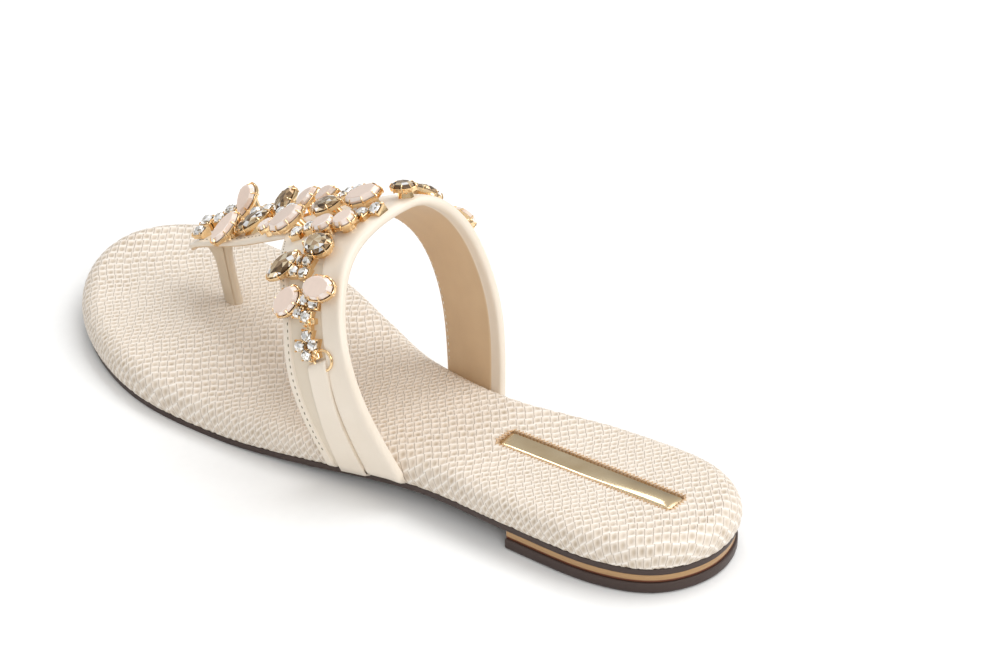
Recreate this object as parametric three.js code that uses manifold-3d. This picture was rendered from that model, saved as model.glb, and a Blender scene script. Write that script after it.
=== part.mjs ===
import * as THREE from "three";
import Module from "manifold-3d";
import { mergeVertices } from "three/addons/utils/BufferGeometryUtils.js";

// A woman's flat thong slide with a jewelled instep strap, left foot.
// Millimetres, floor at z = 0, toe towards -Y, outer side of the foot towards +X,
// origin under the middle of the footbed's length.

const wasm = await Module();
wasm.setup();

// Sole
const footLength = 250;
const ballWidth = 86.5;
const waistWidth = 48.6;
const heelWidth = 55;
const footbedWall = 8.5;
const edgeRound = 4.5;
const outsoleWall = 1.8;
const outsoleInset = 1.2;
const heelLength = 54;
const heelBandWall = 2;
const heelBandInset = 1.6;
const liftWall = 3.4;
const liftInset = 1;
const liftRound = 1;
const toeSpring = 4.7;
const gap = 0.3;
const clearance = 0.25;

// Nameplate on the heel
const plaqueLength = 59.3;
const plaqueWidth = 7.4;
const plaqueWall = 0.6;
const plaqueAside = 1.2;
const plaqueFromHeel = 46.5;
const plaqueTurn = 5;

// Upper
const instepHeight = 76.5;
const sideRise = 4;
const tuckDepth = 9;
const outerBulge = 8.5;
const innerBulge = 5;
const strapWall = 2.2;
const panelWall = 1.5;
const thongWall = 2.2;
const thongHalf = 5.2;
const postAcross = 2.2;
const postAlong = 3;
const postSeat = 4;
const postFromToe = 54;
const postAside = -7.4;
const tabWall = 1.1;
const tabFold = 2.9;

// Jewels
const largestStone = 12.5;
const cupWall = 0.5;
const cupHeight = 1.6;
const cupTaper = 0.86;
const footLift = 0.6;
const stoneBase = 1;
const stoneRise = 0.28;
const crystalHeight = 2.6;
const crystalSize = 3.1;
const linkWidth = 1.4;
const linkWall = 1;
const settingFinish = 0.05;
const ringRadius = 3.6;
const ringWire = 0.6;
const ringAngle = 30.6;
const ringAt = 0.447;
const ringLift = 1.5;

const stationCount = 38;
const heelStationCount = 18;
const archSteps = 26;
const cutSides = 8;
const crystalSides = 6;

const leather = { color: 0xe9dfd0, roughness: 0.45, metalness: 0 };
const embossed = { color: 0xe7dccf, roughness: 0.5, metalness: 0 };
const rubber = { color: 0x4a3830, roughness: 0.6, metalness: 0 };
const tanEdge = { color: 0xa98154, roughness: 0.45, metalness: 0.1 };
const foil = { color: 0xc8ac78, roughness: 0.2, metalness: 1 };
const gold = { color: 0xd9a24f, roughness: 0.25, metalness: 1 };
const milky = { color: 0xe3cdbf, roughness: 0.2, metalness: 0 };
const smoky = { color: 0x8b7c5c, roughness: 0.08, metalness: 0.1 };

// Smooth curve through a table of [place, value] rows, with rising places.
function smoothCurve(rows) {
  const last = rows.length - 1;
  const slopes = rows.map((row, i) => {
    const before = rows[Math.max(i - 1, 0)];
    const after = rows[Math.min(i + 1, last)];
    return (after[1] - before[1]) / (after[0] - before[0]);
  });
  return (place) => {
    const next = rows.findIndex((row) => row[0] > place);
    const i = next < 0 ? last - 1 : Math.max(next - 1, 0);
    const span = rows[i + 1][0] - rows[i][0];
    const t = Math.min(Math.max((place - rows[i][0]) / span, 0), 1);
    const rest = 1 - t;
    return rows[i][1] * (1 + 2 * t) * rest * rest + rows[i + 1][1] * (3 - 2 * t) * t * t
      + span * t * rest * (slopes[i] * rest - slopes[i + 1] * t);
  };
}

// Sole outline. at: share of the length from the heel. The two sides are shares of the width
// that rules that stretch of the foot, the outer side positive.
const outlineRows = [
  { at: 0, width: heelWidth, outer: 0.006, inner: 0.006 },
  { at: 0.03, width: heelWidth, outer: 0.347, inner: -0.345 },
  { at: 0.1, width: heelWidth, outer: 0.5, inner: -0.5 },
  { at: 0.22, width: heelWidth, outer: 0.545, inner: -0.455 },
  { at: 0.36, width: waistWidth, outer: 0.646, inner: -0.362 },
  { at: 0.5, width: waistWidth, outer: 0.782, inner: -0.457 },
  { at: 0.62, width: ballWidth, outer: 0.494, inner: -0.386 },
  { at: 0.74, width: ballWidth, outer: 0.502, inner: -0.498 },
  { at: 0.85, width: ballWidth, outer: 0.415, inner: -0.49 },
  { at: 0.94, width: ballWidth, outer: 0.246, inner: -0.425 },
  { at: 1, width: ballWidth, outer: -0.127, inner: -0.127 },
];
const sideAngle = (share) => Math.acos(1 - 2 * share);
const sideCurve = (side) => smoothCurve(
  outlineRows.map((row) => [sideAngle(row.at), row[side] * row.width]),
);
const sideCurves = { outer: sideCurve("outer"), inner: sideCurve("inner") };

const alongY = (share) => footLength * (0.5 - share);
const shareOf = (y) => THREE.MathUtils.clamp(0.5 - y / footLength, 0, 1);
const edgeX = (side, y) => sideCurves[side](sideAngle(shareOf(y)));

// Height of the footbed's underside: level heel, sloping waist, level ball, rising toe.
const heelRise = liftWall + heelBandWall + outsoleWall + 3 * gap;
const ballRise = outsoleWall + gap;
const waistStart = 0.28;
const waistEnd = 0.64;
const springStart = 0.76;
const springPower = 1.7;

function underside(y) {
  const share = shareOf(y);
  const slope = heelRise + (ballRise - heelRise) * THREE.MathUtils.smoothstep(share, waistStart, waistEnd);
  const spring = Math.max((share - springStart) / (1 - springStart), 0);
  return slope + toeSpring * spring ** springPower;
}
const footbedTop = (y) => underside(y) + footbedWall;

// Ring round the outline, drawn in by inset, rise above the footbed's underside.
// The first half runs down the outer side, the second half back up the inner side.
function outlineRing(inset, rise, count, reach = 1) {
  const tiny = 1e-3;
  const end = sideAngle(reach);
  const side = (name, sign) => Array.from({ length: count }, (_, i) => {
    const full = reach === 1;
    const angle = end * (full ? (i + 0.5) / count : (i + 0.5) / (count - 0.5));
    const at = (a) => new THREE.Vector2(sideCurves[name](a), alongY((1 - Math.cos(a)) / 2));
    const along = at(Math.min(angle + tiny, Math.PI)).sub(at(angle - tiny)).normalize();
    const point = at(angle).add(new THREE.Vector2(along.y, -along.x).multiplyScalar(sign * inset));
    const y = full ? point.y : Math.max(point.y, alongY(reach));
    return new THREE.Vector3(point.x, y, underside(y) + rise);
  });
  return [...side("outer", 1), ...side("inner", -1).reverse()];
}

// Closed body through rings of the same even count, each end closed by a ladder of rungs.
function loft(rings) {
  const count = rings[0].length;
  const positions = rings.flat().flatMap((p) => [p.x, p.y, p.z]);
  const faces = [];
  const quad = (a, b, c, d) => faces.push(a, b, c, a, c, d);
  for (let r = 0; r < rings.length - 1; r++) {
    for (let i = 0; i < count; i++) {
      const j = (i + 1) % count;
      quad(r * count + i, r * count + j, (r + 1) * count + j, (r + 1) * count + i);
    }
  }
  const top = (rings.length - 1) * count;
  for (let i = 0; i < count / 2 - 1; i++) {
    const [a, b, c, d] = [i, i + 1, count - 2 - i, count - 1 - i];
    quad(d, c, b, a);
    quad(top + a, top + b, top + c, top + d);
  }
  const geometry = new THREE.BufferGeometry();
  geometry.setAttribute("position", new THREE.Float32BufferAttribute(positions, 3));
  geometry.setIndex(signedVolume(positions, faces) < 0 ? faces.toReversed() : faces);
  return geometry;
}

function signedVolume(positions, faces) {
  const corner = (i) => new THREE.Vector3(...positions.slice(3 * i, 3 * i + 3));
  let six = 0;
  for (let i = 0; i < faces.length; i += 3) {
    six += corner(faces[i]).dot(corner(faces[i + 1]).cross(corner(faces[i + 2])));
  }
  return six;
}

function toSolid(geometry) {
  const bare = geometry.clone();
  bare.deleteAttribute("normal");
  bare.deleteAttribute("uv");
  const merged = mergeVertices(bare, 1e-3);
  return new wasm.Manifold(new wasm.Mesh({
    numProp: 3,
    vertProperties: Float32Array.from(merged.attributes.position.array),
    triVerts: Uint32Array.from(merged.index.array),
  }));
}

const part = new THREE.Group();

function addPiece(name, solid, look) {
  const { vertProperties, triVerts } = solid.getMesh();
  const geometry = new THREE.BufferGeometry();
  geometry.setAttribute("position", new THREE.Float32BufferAttribute(vertProperties, 3));
  geometry.setIndex(Array.from(triVerts));
  geometry.computeVertexNormals();
  const mesh = new THREE.Mesh(geometry, new THREE.MeshStandardMaterial(look));
  mesh.name = name;
  part.add(mesh);
}

const joinAll = (solids) => solids.reduce((whole, solid) => whole.add(solid));
const cutFrom = (solid, cutters) => cutters.reduce((rest, cutter) => rest.subtract(cutter), solid);

// Instep form that the upper is pulled over. Ridge heights are shares of the instep height.
const ridgeRows = [
  { at: 0.852, height: 0.37 },
  { at: 0.836, height: 0.392 },
  { at: 0.74, height: 0.514 },
  { at: 0.64, height: 0.706 },
  { at: 0.54, height: 0.902 },
  { at: 0.46, height: 1 },
  { at: 0.36, height: 1.062 },
].reverse();
const ridgeHeight = smoothCurve(ridgeRows.map((row) => [row.at, row.height * instepHeight]));
const ridgeAside = smoothCurve([[0.45, -3], [0.78, postAside]]);

// Point on the form's surface: angle 0 at the outer side, 90 on the ridge, 180 at the inner side.
function formPoint(y, angle) {
  const a = THREE.MathUtils.degToRad(angle);
  const side = angle <= 90 ? "outer" : "inner";
  const share = shareOf(y);
  const ridge = ridgeAside(share);
  const half = Math.abs(edgeX(side, y) - ridge) + gap;
  const bulge = angle <= 90 ? outerBulge : innerBulge;
  const low = underside(y) + sideRise;
  const top = ridgeHeight(share) - strapWall;
  return new THREE.Vector3(
    ridge + half * Math.cos(a) + bulge * Math.sin(2 * a),
    y,
    low + (top - low) * Math.sin(a),
  );
}

// Front and back edge of the instep band, as shares of the length from the heel.
const bandRows = [
  { angle: 0, front: 0.462, back: 0.359 },
  { angle: 22.5, front: 0.495, back: 0.404 },
  { angle: 45, front: 0.526, back: 0.441 },
  { angle: 67.5, front: 0.592, back: 0.471 },
  { angle: 90, front: 0.655, back: 0.468 },
  { angle: 112.5, front: 0.604, back: 0.452 },
  { angle: 135, front: 0.552, back: 0.427 },
  { angle: 157.5, front: 0.512, back: 0.401 },
  { angle: 180, front: 0.487, back: 0.388 },
];
const bandFront = smoothCurve(bandRows.map((row) => [row.angle, row.front]));
const bandBack = smoothCurve(bandRows.map((row) => [row.angle, row.back]));

// Columns across the band from front to back: places low on the leg and from seamAngle up,
// then the faces as shares of their wall. A negative under is the padding inside the back edge.
const seamAngle = 30;
const bandColumns = [
  { low: 0, high: 0, under: 0.22, over: 0.7 },
  { low: 0.025, high: 0.025, under: 0, over: 0.98 },
  { low: 0.1, high: 0.11, under: 0, over: 1 },
  { low: 0.12, high: 0.13, under: 0, over: 1, panel: true },
  { low: 0.33, high: 0.4, under: 0, over: 1, panel: true },
  { low: 0.53, high: 0.655, under: 0, over: 1, panel: true },
  { low: 0.55, high: 0.675, under: 0, over: 1.05 },
  { low: 0.76, high: 0.8, under: 0, over: 1.05 },
  { low: 0.9, high: 0.9, under: -0.1, over: 1.2 },
  { low: 0.96, high: 0.95, under: -0.25, over: 1.25 },
  { low: 0.99, high: 0.985, under: -0.1, over: 1.05 },
  { low: 1, high: 1, under: 0.3, over: 0.7 },
];

// The recessed panel lies on the legs and comes up flush with the strap under the ridge jewels.
const panelFlush = { from: 48, to: 68 };
const fromSole = (angle) => Math.min(angle, 180 - angle);

function columnWall(column, angle) {
  if (!column.panel) return strapWall;
  const flush = THREE.MathUtils.smoothstep(fromSole(angle), panelFlush.from, panelFlush.to);
  return THREE.MathUtils.lerp(panelWall, strapWall, flush);
}
const columnPlace = (column, angle) => THREE.MathUtils.lerp(
  column.low, column.high, Math.min(fromSole(angle) / seamAngle, 1),
);

// Way of each strap end down the footbed's side and in under it. out: share of the tuck's depth
// from the footbed's edge, rise: share of the side's rise, wall: share left after skiving.
const tuckRows = [
  { out: -1, rise: 0.36, wall: 0.55 },
  { out: -0.5, rise: 0.36, wall: 0.55 },
  { out: -0.17, rise: 0.37, wall: 0.55 },
  { out: -0.05, rise: 0.46, wall: 0.65 },
  { out: 0, rise: 0.7, wall: 0.85 },
];

function tuckPoint(side, y, row) {
  const sign = side === "outer" ? 1 : -1;
  const x = edgeX(side, y) + sign * (gap + row.out * tuckDepth);
  return new THREE.Vector3(x, y, underside(y) + row.rise * sideRise);
}

// Stations round the arch: tucked end, side, arch, side, tucked end.
const archAngle = (step) => (180 * step) / archSteps;
const archStations = [
  ...tuckRows.map((row) => ({ side: "outer", angle: 0, tuck: row, wall: row.wall, pad: 0 })),
  ...Array.from({ length: archSteps + 1 }, (_, step) => {
    const angle = archAngle(step);
    return { angle, wall: 1, pad: Math.sin(THREE.MathUtils.degToRad(angle)) };
  }),
  ...tuckRows.toReversed().map((row) => ({ side: "inner", angle: 180, tuck: row, wall: row.wall, pad: 0 })),
];

const bandY = (angle, place) => alongY(bandFront(angle) + (bandBack(angle) - bandFront(angle)) * place);

function stationPoint(station, column) {
  const y = bandY(station.angle, columnPlace(column, station.angle));
  return station.tuck ? tuckPoint(station.side, y, station.tuck) : formPoint(y, station.angle);
}

// Wall raised on a grid of points, rows of stations by columns across. under and over give the
// heights of its two faces along the grid's normals.
function wallOnGrid(grid, under, over) {
  const inside = (i, list) => Math.min(Math.max(i, 0), list.length - 1);
  const pick = (i, j) => grid[inside(i, grid)][inside(j, grid[0])];
  const normal = (i, j) => {
    const along = pick(i + 1, j).clone().sub(pick(i - 1, j));
    const across = pick(i, j + 1).clone().sub(pick(i, j - 1));
    return across.cross(along).normalize();
  };
  const rings = grid.map((row, i) => {
    const face = (height) => row.map((p, j) => p.clone().addScaledVector(normal(i, j), height(i, j)));
    return [...face(over), ...face(under).reverse()];
  });
  return toSolid(loft(rings));
}

// grow widens the body on all sides for the clearance that neighbours keep to it.
function bandSolid(grow = 0) {
  const outward = (k, list) => (k === 0 ? -1 : k === list.length - 1 ? 1 : 0);
  const grid = archStations.map((station, i) => bandColumns.map((column, j) => {
    const point = stationPoint(station, column);
    point.x += outward(i, archStations) * grow;
    point.y += outward(j, bandColumns) * grow;
    return point;
  }));
  const wallAt = (i, j) => columnWall(bandColumns[j], archStations[i].angle) * archStations[i].wall;
  const under = (i, j) => {
    const share = bandColumns[j].under;
    return share * wallAt(i, j) * (share < 0 ? archStations[i].pad : 1) - grow;
  };
  const over = (i, j) => bandColumns[j].over * wallAt(i, j) + grow;
  return wallOnGrid(grid, under, over);
}

// Thong strap along the ridge, from the band to its tip over the toe post.
const thongRows = [
  { at: 0.6, half: 1.3, droop: 0 },
  { at: 0.64, half: 1.75, droop: 0 },
  { at: 0.668, half: 1.6, droop: 0 },
  { at: 0.7, half: 1.2, droop: 0 },
  { at: 0.735, half: 1.05, droop: 0 },
  { at: 0.78, half: 1, droop: 0 },
  { at: 0.815, half: 0.96, droop: 0.2 },
  { at: 0.834, half: 0.8, droop: 1 },
  { at: 0.845, half: 0.45, droop: 2.6 },
];
const thongColumns = [
  { place: -1, under: 0.3, over: 0.7 },
  { place: -0.85, under: 0, over: 0.97 },
  { place: 0, under: 0, over: 1 },
  { place: 0.85, under: 0, over: 0.97 },
  { place: 1, under: 0.3, over: 0.7 },
];

const thongDroop = smoothCurve(thongRows.map((row) => [row.at, row.droop]));

function thongSolid(grow = 0) {
  const grid = thongRows.map((row) => thongColumns.map((column) => {
    const y = alongY(row.at);
    const reach = (row.half * thongHalf + grow) * column.place;
    const half = Math.abs(edgeX(reach > 0 ? "inner" : "outer", y) - ridgeAside(row.at)) + gap;
    const point = formPoint(y, 90 + THREE.MathUtils.radToDeg(Math.asin(reach / half)));
    point.z -= row.droop;
    return point;
  }));
  const under = (i, j) => thongColumns[j].under * thongWall - grow;
  const over = (i, j) => thongColumns[j].over * thongWall + grow;
  return wallOnGrid(grid, under, over);
}

// Toe post between the first toes, leaning forward into the strap's tip.
const postSides = 16;
const postY = -footLength / 2 + postFromToe;
const postRows = [
  { rise: 0, lean: 0, across: 1, along: 1 },
  { rise: 0.35, lean: -2.5, across: 1, along: 0.98 },
  { rise: 0.7, lean: -4.6, across: 1.02, along: 1.02 },
  { rise: 0.88, lean: -6, across: 1.2, along: 1.4 },
  { rise: 1, lean: -7, across: 1.5, along: 1.9 },
];

function postSolid(grow = 0) {
  const seat = footbedTop(postY) - postSeat;
  const top = (y) => ridgeHeight(shareOf(y)) - thongDroop(shareOf(y)) - thongWall * 0.6;
  const rings = postRows.map((row, i) => Array.from({ length: postSides }, (_, k) => {
    const turn = (2 * Math.PI * (k + 0.5)) / postSides;
    const x = postAside + (postAcross * row.across + grow) * Math.cos(turn);
    const y = postY + row.lean + (postAlong * row.along + grow) * Math.sin(turn);
    return new THREE.Vector3(x, y, seat + (top(y) - seat) * row.rise - (i === 0 ? grow : 0));
  }));
  return toSolid(loft(rings));
}

// Narrow tab that hangs from the ring and runs down the recessed panel.
const tabRows = [
  { angle: 27.6, front: 0.375, back: 0.63, fold: 1 },
  { angle: 26, front: 0.365, back: 0.625, fold: 1 },
  { angle: 24.4, front: 0.355, back: 0.615, fold: 0 },
  { angle: 16, front: 0.29, back: 0.57, fold: 0 },
  { angle: 8, front: 0.23, back: 0.54, fold: 0 },
  { angle: 0, front: 0.18, back: 0.505, fold: 0 },
];
const tabPlaces = [0, 0.08, 0.5, 0.92, 1];

function tabSolid(inner) {
  const turned = (angle) => (inner ? 180 - angle : angle);
  const onBand = (row, place) => {
    const angle = turned(row.angle);
    return formPoint(bandY(angle, row.front + (row.back - row.front) * place), angle);
  };
  const low = tuckRows.at(-1);
  const foot = tabPlaces.map((place) => {
    const base = onBand(tabRows.at(-1), place);
    return tuckPoint(inner ? "inner" : "outer", base.y, low);
  });
  const grid = [...tabRows.map((row) => tabPlaces.map((place) => onBand(row, place))), foot];
  if (!inner) grid.reverse();
  const foldOf = (i) => tabRows[inner ? i : tabRows.length - i]?.fold ?? 0;
  const edge = (j) => (j === 0 || j === tabPlaces.length - 1 ? 0.3 * tabWall : 0);
  const under = () => panelWall + gap;
  const over = (i, j) => panelWall + gap + (foldOf(i) ? tabFold : tabWall) - edge(j);
  return wallOnGrid(grid, under, over);
}

// Height of the straps' outer face above the form.
function strapFace(y, angle) {
  const place = (shareOf(y) - bandFront(angle)) / (bandBack(angle) - bandFront(angle));
  const face = (column) => column.over * columnWall(column, angle);
  const next = bandColumns.findIndex((column) => columnPlace(column, angle) > place);
  if (next === 0) return thongWall;
  if (next < 0) return face(bandColumns.at(-1));
  const [a, b] = [bandColumns[next - 1], bandColumns[next]];
  const t = (place - columnPlace(a, angle)) / (columnPlace(b, angle) - columnPlace(a, angle));
  const crossing = shareOf(y) > thongRows[0].at ? thongWall : 0;
  return Math.max(THREE.MathUtils.lerp(face(a), face(b), t), crossing);
}

// Frame on the strap's outer face: origin lift above it, x backward along the foot, y round
// the arch, z outward. roll lifts the inner side of a stone, turn spins it on its seat.
function seatOn(y, angle, lift, turn = 0, roll = 0) {
  const step = 0.5;
  const here = formPoint(y, angle);
  const along = formPoint(y + step, angle).sub(formPoint(y - step, angle)).normalize();
  const around = formPoint(y, angle + step).sub(formPoint(y, angle - step)).normalize();
  const out = around.clone().cross(along).negate().normalize();
  const across = out.clone().cross(along);
  const matrix = new THREE.Matrix4().makeBasis(along, across, out);
  matrix.multiply(new THREE.Matrix4().makeRotationX(THREE.MathUtils.degToRad(roll)));
  matrix.multiply(new THREE.Matrix4().makeRotationZ(THREE.MathUtils.degToRad(turn)));
  return matrix.setPosition(here.addScaledVector(out, strapFace(y, angle) + lift));
}

// Point on or above the strap's face, back and round are steps in mm from a seat.
function facePoint(seat, back, round, height) {
  const arc = formPoint(seat.y, seat.angle + 0.5).distanceTo(formPoint(seat.y, seat.angle - 0.5));
  const matrix = seatOn(seat.y + back, THREE.MathUtils.clamp(seat.angle + round / arc, 1, 179), height);
  return new THREE.Vector3().setFromMatrixPosition(matrix);
}

// Unit outlines of the cuts, by the turn from the +x end.
const cuts = {
  oval: (t) => [Math.cos(t), Math.sin(t)],
  marquise: (t) => [Math.cos(t), Math.sin(t) * Math.abs(Math.sin(t)) ** 0.4],
  drop: (t) => [Math.cos(t), Math.sin(t) * Math.abs(Math.sin(t / 2)) ** 0.8],
  octagon: (t) => {
    const reach = Math.min(0.94 / Math.max(Math.abs(Math.cos(t)), Math.abs(Math.sin(t))), 1.14);
    return [reach * Math.cos(t), reach * Math.sin(t)];
  },
};

function cutRing(cut, length, width, height, sides = cutSides) {
  return Array.from({ length: sides }, (_, i) => {
    const [x, y] = cuts[cut]((2 * Math.PI * (i + 0.5)) / sides);
    return new THREE.Vector3((x * length) / 2, (y * width) / 2, height);
  });
}

// Stone profile: share of its outline and share of its height.
const stoneProfile = [
  { size: 0.8, height: 0 },
  { size: 1, height: 0.4 },
  { size: 1, height: 0.55 },
  { size: 0.6, height: 1 },
];
const stoneHeight = (width) => stoneBase + stoneRise * width;

function stoneSolid(stone, grow = 0) {
  const last = stoneProfile.length - 1;
  const rings = stoneProfile.map((row, i) => {
    const spread = i === 0 ? -grow : i === last ? grow : 0;
    const height = cupHeight + gap + row.height * stoneHeight(stone.width) + spread;
    const size = (full) => full * row.size + 2 * grow;
    return cutRing(stone.cut, size(stone.length), size(stone.width), height);
  });
  return toSolid(loft(rings).applyMatrix4(stone.seat));
}

// Foot of a cup on the strap, of the same outline as the stone above it.
function footRing(jewel, cut, length, width, sides) {
  const turn = THREE.MathUtils.degToRad(jewel.spin);
  const [c, s] = [Math.cos(turn), Math.sin(turn)];
  const ring = cutRing(cut, length, width, 0, sides);
  return ring.map((p) => facePoint(jewel, p.x * c - p.y * s, p.x * s + p.y * c, footLift));
}

function cupSolid(stone) {
  const size = (full) => (full + 2 * cupWall);
  const [length, width] = [size(stone.length), size(stone.width)];
  const foot = footRing(stone, stone.cut, length * cupTaper, width * cupTaper, cutSides);
  const rim = cutRing(stone.cut, length, width, cupHeight);
  return toSolid(loft([foot, rim.map((p) => p.applyMatrix4(stone.seat))]));
}

// A small round crystal and its cup are one body.
function crystalSolid(crystal) {
  const ring = (share, height) => {
    const size = crystalSize * share;
    return cutRing("oval", size, size, height, crystalSides).map((p) => p.applyMatrix4(crystal.seat));
  };
  const foot = footRing(crystal, "oval", crystalSize, crystalSize, crystalSides);
  return toSolid(loft([foot, ring(1.08, crystalHeight * 0.7), ring(0.6, crystalHeight)]));
}

// Bar along the strap's face between two jewels, low in their cups.
function linkSolid(from, to) {
  const steps = [0, 0.5, 1];
  const middle = (t) => ({
    y: THREE.MathUtils.lerp(from.y, to.y, t),
    angle: THREE.MathUtils.lerp(from.angle, to.angle, t),
  });
  const [start, end] = steps.filter((t) => t !== 0.5).map((t) => facePoint(middle(t), 0, 0, 0));
  const rings = steps.map((t) => {
    const seat = seatOn(middle(t).y, middle(t).angle, 0);
    const out = new THREE.Vector3().setFromMatrixColumn(seat, 2);
    const side = out.clone().cross(end.clone().sub(start)).normalize().multiplyScalar(linkWidth / 2);
    const low = new THREE.Vector3().setFromMatrixPosition(seat).addScaledVector(out, gap);
    const high = low.clone().addScaledVector(out, linkWall);
    return [low.clone().sub(side), high.clone().sub(side), high.clone().add(side), low.clone().add(side)];
  });
  return toSolid(loft(rings));
}

// Stones on the ridge. at: share of the length from the heel, angle: round the arch. long and wide
// are shares of the largest stone, lift is a share of the cups' height, roll and turn are degrees.
const ridgeStones = [
  {
    name: "long_oval", cut: "oval", long: 0.84, wide: 0.4,
    at: 0.769, angle: 87, lift: 0.75, roll: 26, turn: 78,
  },
  {
    name: "raised_drop", cut: "drop", long: 0.76, wide: 0.48,
    at: 0.785, angle: 103, lift: 2.81, roll: 60, turn: 90,
  },
  {
    name: "front_marquise", cut: "marquise", long: 0.88, wide: 0.432,
    at: 0.737, angle: 90.5, lift: 0.62, roll: 15, turn: 40,
  },
  {
    name: "raised_oval", cut: "oval", long: 0.68, wide: 0.52,
    at: 0.71, angle: 104, lift: 3.12, roll: 48, turn: 90,
  },
  {
    name: "small_oval", cut: "oval", long: 0.48, wide: 0.368,
    at: 0.671, angle: 82.5, lift: 0.31, roll: 8, turn: 10,
  },
  {
    name: "centre_oval", cut: "oval", long: 1, wide: 0.688,
    at: 0.635, angle: 82.5, lift: 0.37, roll: 12, turn: 14,
  },
  {
    name: "front_drop", cut: "drop", long: 0.64, wide: 0.512,
    at: 0.664, angle: 102, lift: 1.88, roll: 34, turn: 60,
  },
  {
    name: "back_drop", cut: "drop", long: 0.672, wide: 0.528,
    at: 0.628, angle: 101, lift: 1.62, roll: 28, turn: 20,
  },
  {
    name: "centre_marquise", cut: "marquise", long: 0.88, wide: 0.464,
    at: 0.572, angle: 84, lift: 0.5, roll: 5, turn: 6,
  },
  {
    name: "front_round", cut: "oval", long: 0.576, wide: 0.544,
    at: 0.531, angle: 72.3, lift: 0.19,
  },
  {
    name: "back_round", cut: "oval", long: 0.544, wide: 0.544,
    at: 0.503, angle: 73.6, lift: 0.19,
  },
  {
    name: "octagon", cut: "octagon", long: 0.96, wide: 0.656,
    at: 0.52, angle: 86.5, lift: 0.25, turn: 4,
  },
  {
    name: "baguette", cut: "octagon", long: 0.672, wide: 0.368,
    at: 0.482, angle: 92.2, lift: 0.25, turn: 2,
  },
];
const smokyStones = [
  "front_marquise", "raised_oval", "centre_marquise", "baguette", "leg_oval", "leg_marquise",
];

// Stones down each leg, placed for the outer one and mirrored for the inner one.
const legStones = [
  {
    name: "leg_oval", cut: "oval", long: 0.8, wide: 0.544,
    at: 0.511, angle: 64, lift: 0.19, turn: -18,
  },
  {
    name: "leg_marquise", cut: "marquise", long: 0.92, wide: 0.48,
    at: 0.544, angle: 57.6, lift: 0.19, turn: 46,
  },
  {
    name: "leg_back_oval", cut: "oval", long: 0.8, wide: 0.56,
    at: 0.474, angle: 50.5, lift: 0.19, turn: -20,
  },
  {
    name: "leg_front_oval", cut: "oval", long: 0.752, wide: 0.528,
    at: 0.513, angle: 46.2, lift: 0.19, turn: 51,
  },
];

const ridgeCrystals = [
  { at: 0.824, angle: 87.4, lift: 0.37 },
  { at: 0.836, angle: 94.5, lift: 1 },
  { at: 0.82, angle: 96, lift: 1.12 },
  { at: 0.811, angle: 99.7, lift: 2.12 },
  { at: 0.751, angle: 96, lift: 2.25 },
  { at: 0.741, angle: 99, lift: 2.25 },
  { at: 0.702, angle: 95.5, lift: 1.38 },
  { at: 0.684, angle: 95.8, lift: 1.5 },
  { at: 0.597, angle: 100, lift: 1.25 },
  { at: 0.579, angle: 100.5, lift: 1.25 },
  { at: 0.579, angle: 72.8, lift: 0.19 },
  { at: 0.563, angle: 74, lift: 0.19 },
  { at: 0.497, angle: 78, lift: 0.19 },
  { at: 0.484, angle: 80.5, lift: 0.19 },
];
const legCrystals = [
  { at: 0.531, angle: 60.2, lift: 0.19 },
  { at: 0.517, angle: 59.6, lift: 0.19 },
  { at: 0.528, angle: 57, lift: 0.19 },
  { at: 0.514, angle: 56.4, lift: 0.19 },
  { at: 0.493, angle: 46.2, lift: 0.19 },
  { at: 0.479, angle: 45.4, lift: 0.19 },
  { at: 0.495, angle: 42.8, lift: 0.19 },
  { at: 0.483, angle: 41.9, lift: 0.19 },
  { at: 0.474, angle: 37.4, lift: 0.19 },
  { at: 0.48, angle: 34.4, lift: 0.19 },
  { at: 0.464, angle: 35.2, lift: 0.19 },
  { at: 0.469, angle: 32.2, lift: 0.19 },
];

function seated(row, name, inner = false) {
  const mirror = inner ? -1 : 1;
  const angle = inner ? 180 - row.angle : row.angle;
  const spin = mirror * (row.turn ?? 0);
  const y = alongY(row.at);
  const seat = seatOn(y, angle, row.lift * cupHeight, spin, mirror * (row.roll ?? 0));
  return { ...row, name, y, angle, spin, seat };
}
const onLegs = (rows) => [false, true].flatMap((inner) => rows.map(
  (row) => seated(row, `${inner ? "inner" : "outer"}_${row.name}`, inner),
));
const sized = (row) => ({ ...row, length: row.long * largestStone, width: row.wide * largestStone });
const stones = [...ridgeStones.map((row) => seated(row, row.name)), ...onLegs(legStones)].map(sized);
const crystals = [...ridgeCrystals.map((row) => seated(row, "")), ...onLegs(legCrystals)];

// Sole pieces. Rounded edges are shares of the edge's round and of the wall.
const footbedEdge = [
  { inset: 0.22, rise: 0 },
  { inset: 0.04, rise: 0.18 },
  { inset: 0, rise: 0.41 },
  { inset: 0.12, rise: 0.65 },
  { inset: 0.42, rise: 0.85 },
  { inset: 1, rise: 1 },
];

function footbedSolid() {
  return toSolid(loft(footbedEdge.map(
    (row) => outlineRing(row.inset * edgeRound, row.rise * footbedWall, stationCount),
  )));
}

function layerSolid(inset, floor, wall, count, reach, round = 0) {
  const rings = [
    outlineRing(inset + round, floor, count, reach),
    ...(round ? [outlineRing(inset, floor + round, count, reach)] : []),
    outlineRing(inset, floor + wall, count, reach),
  ];
  return toSolid(loft(rings));
}

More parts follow.
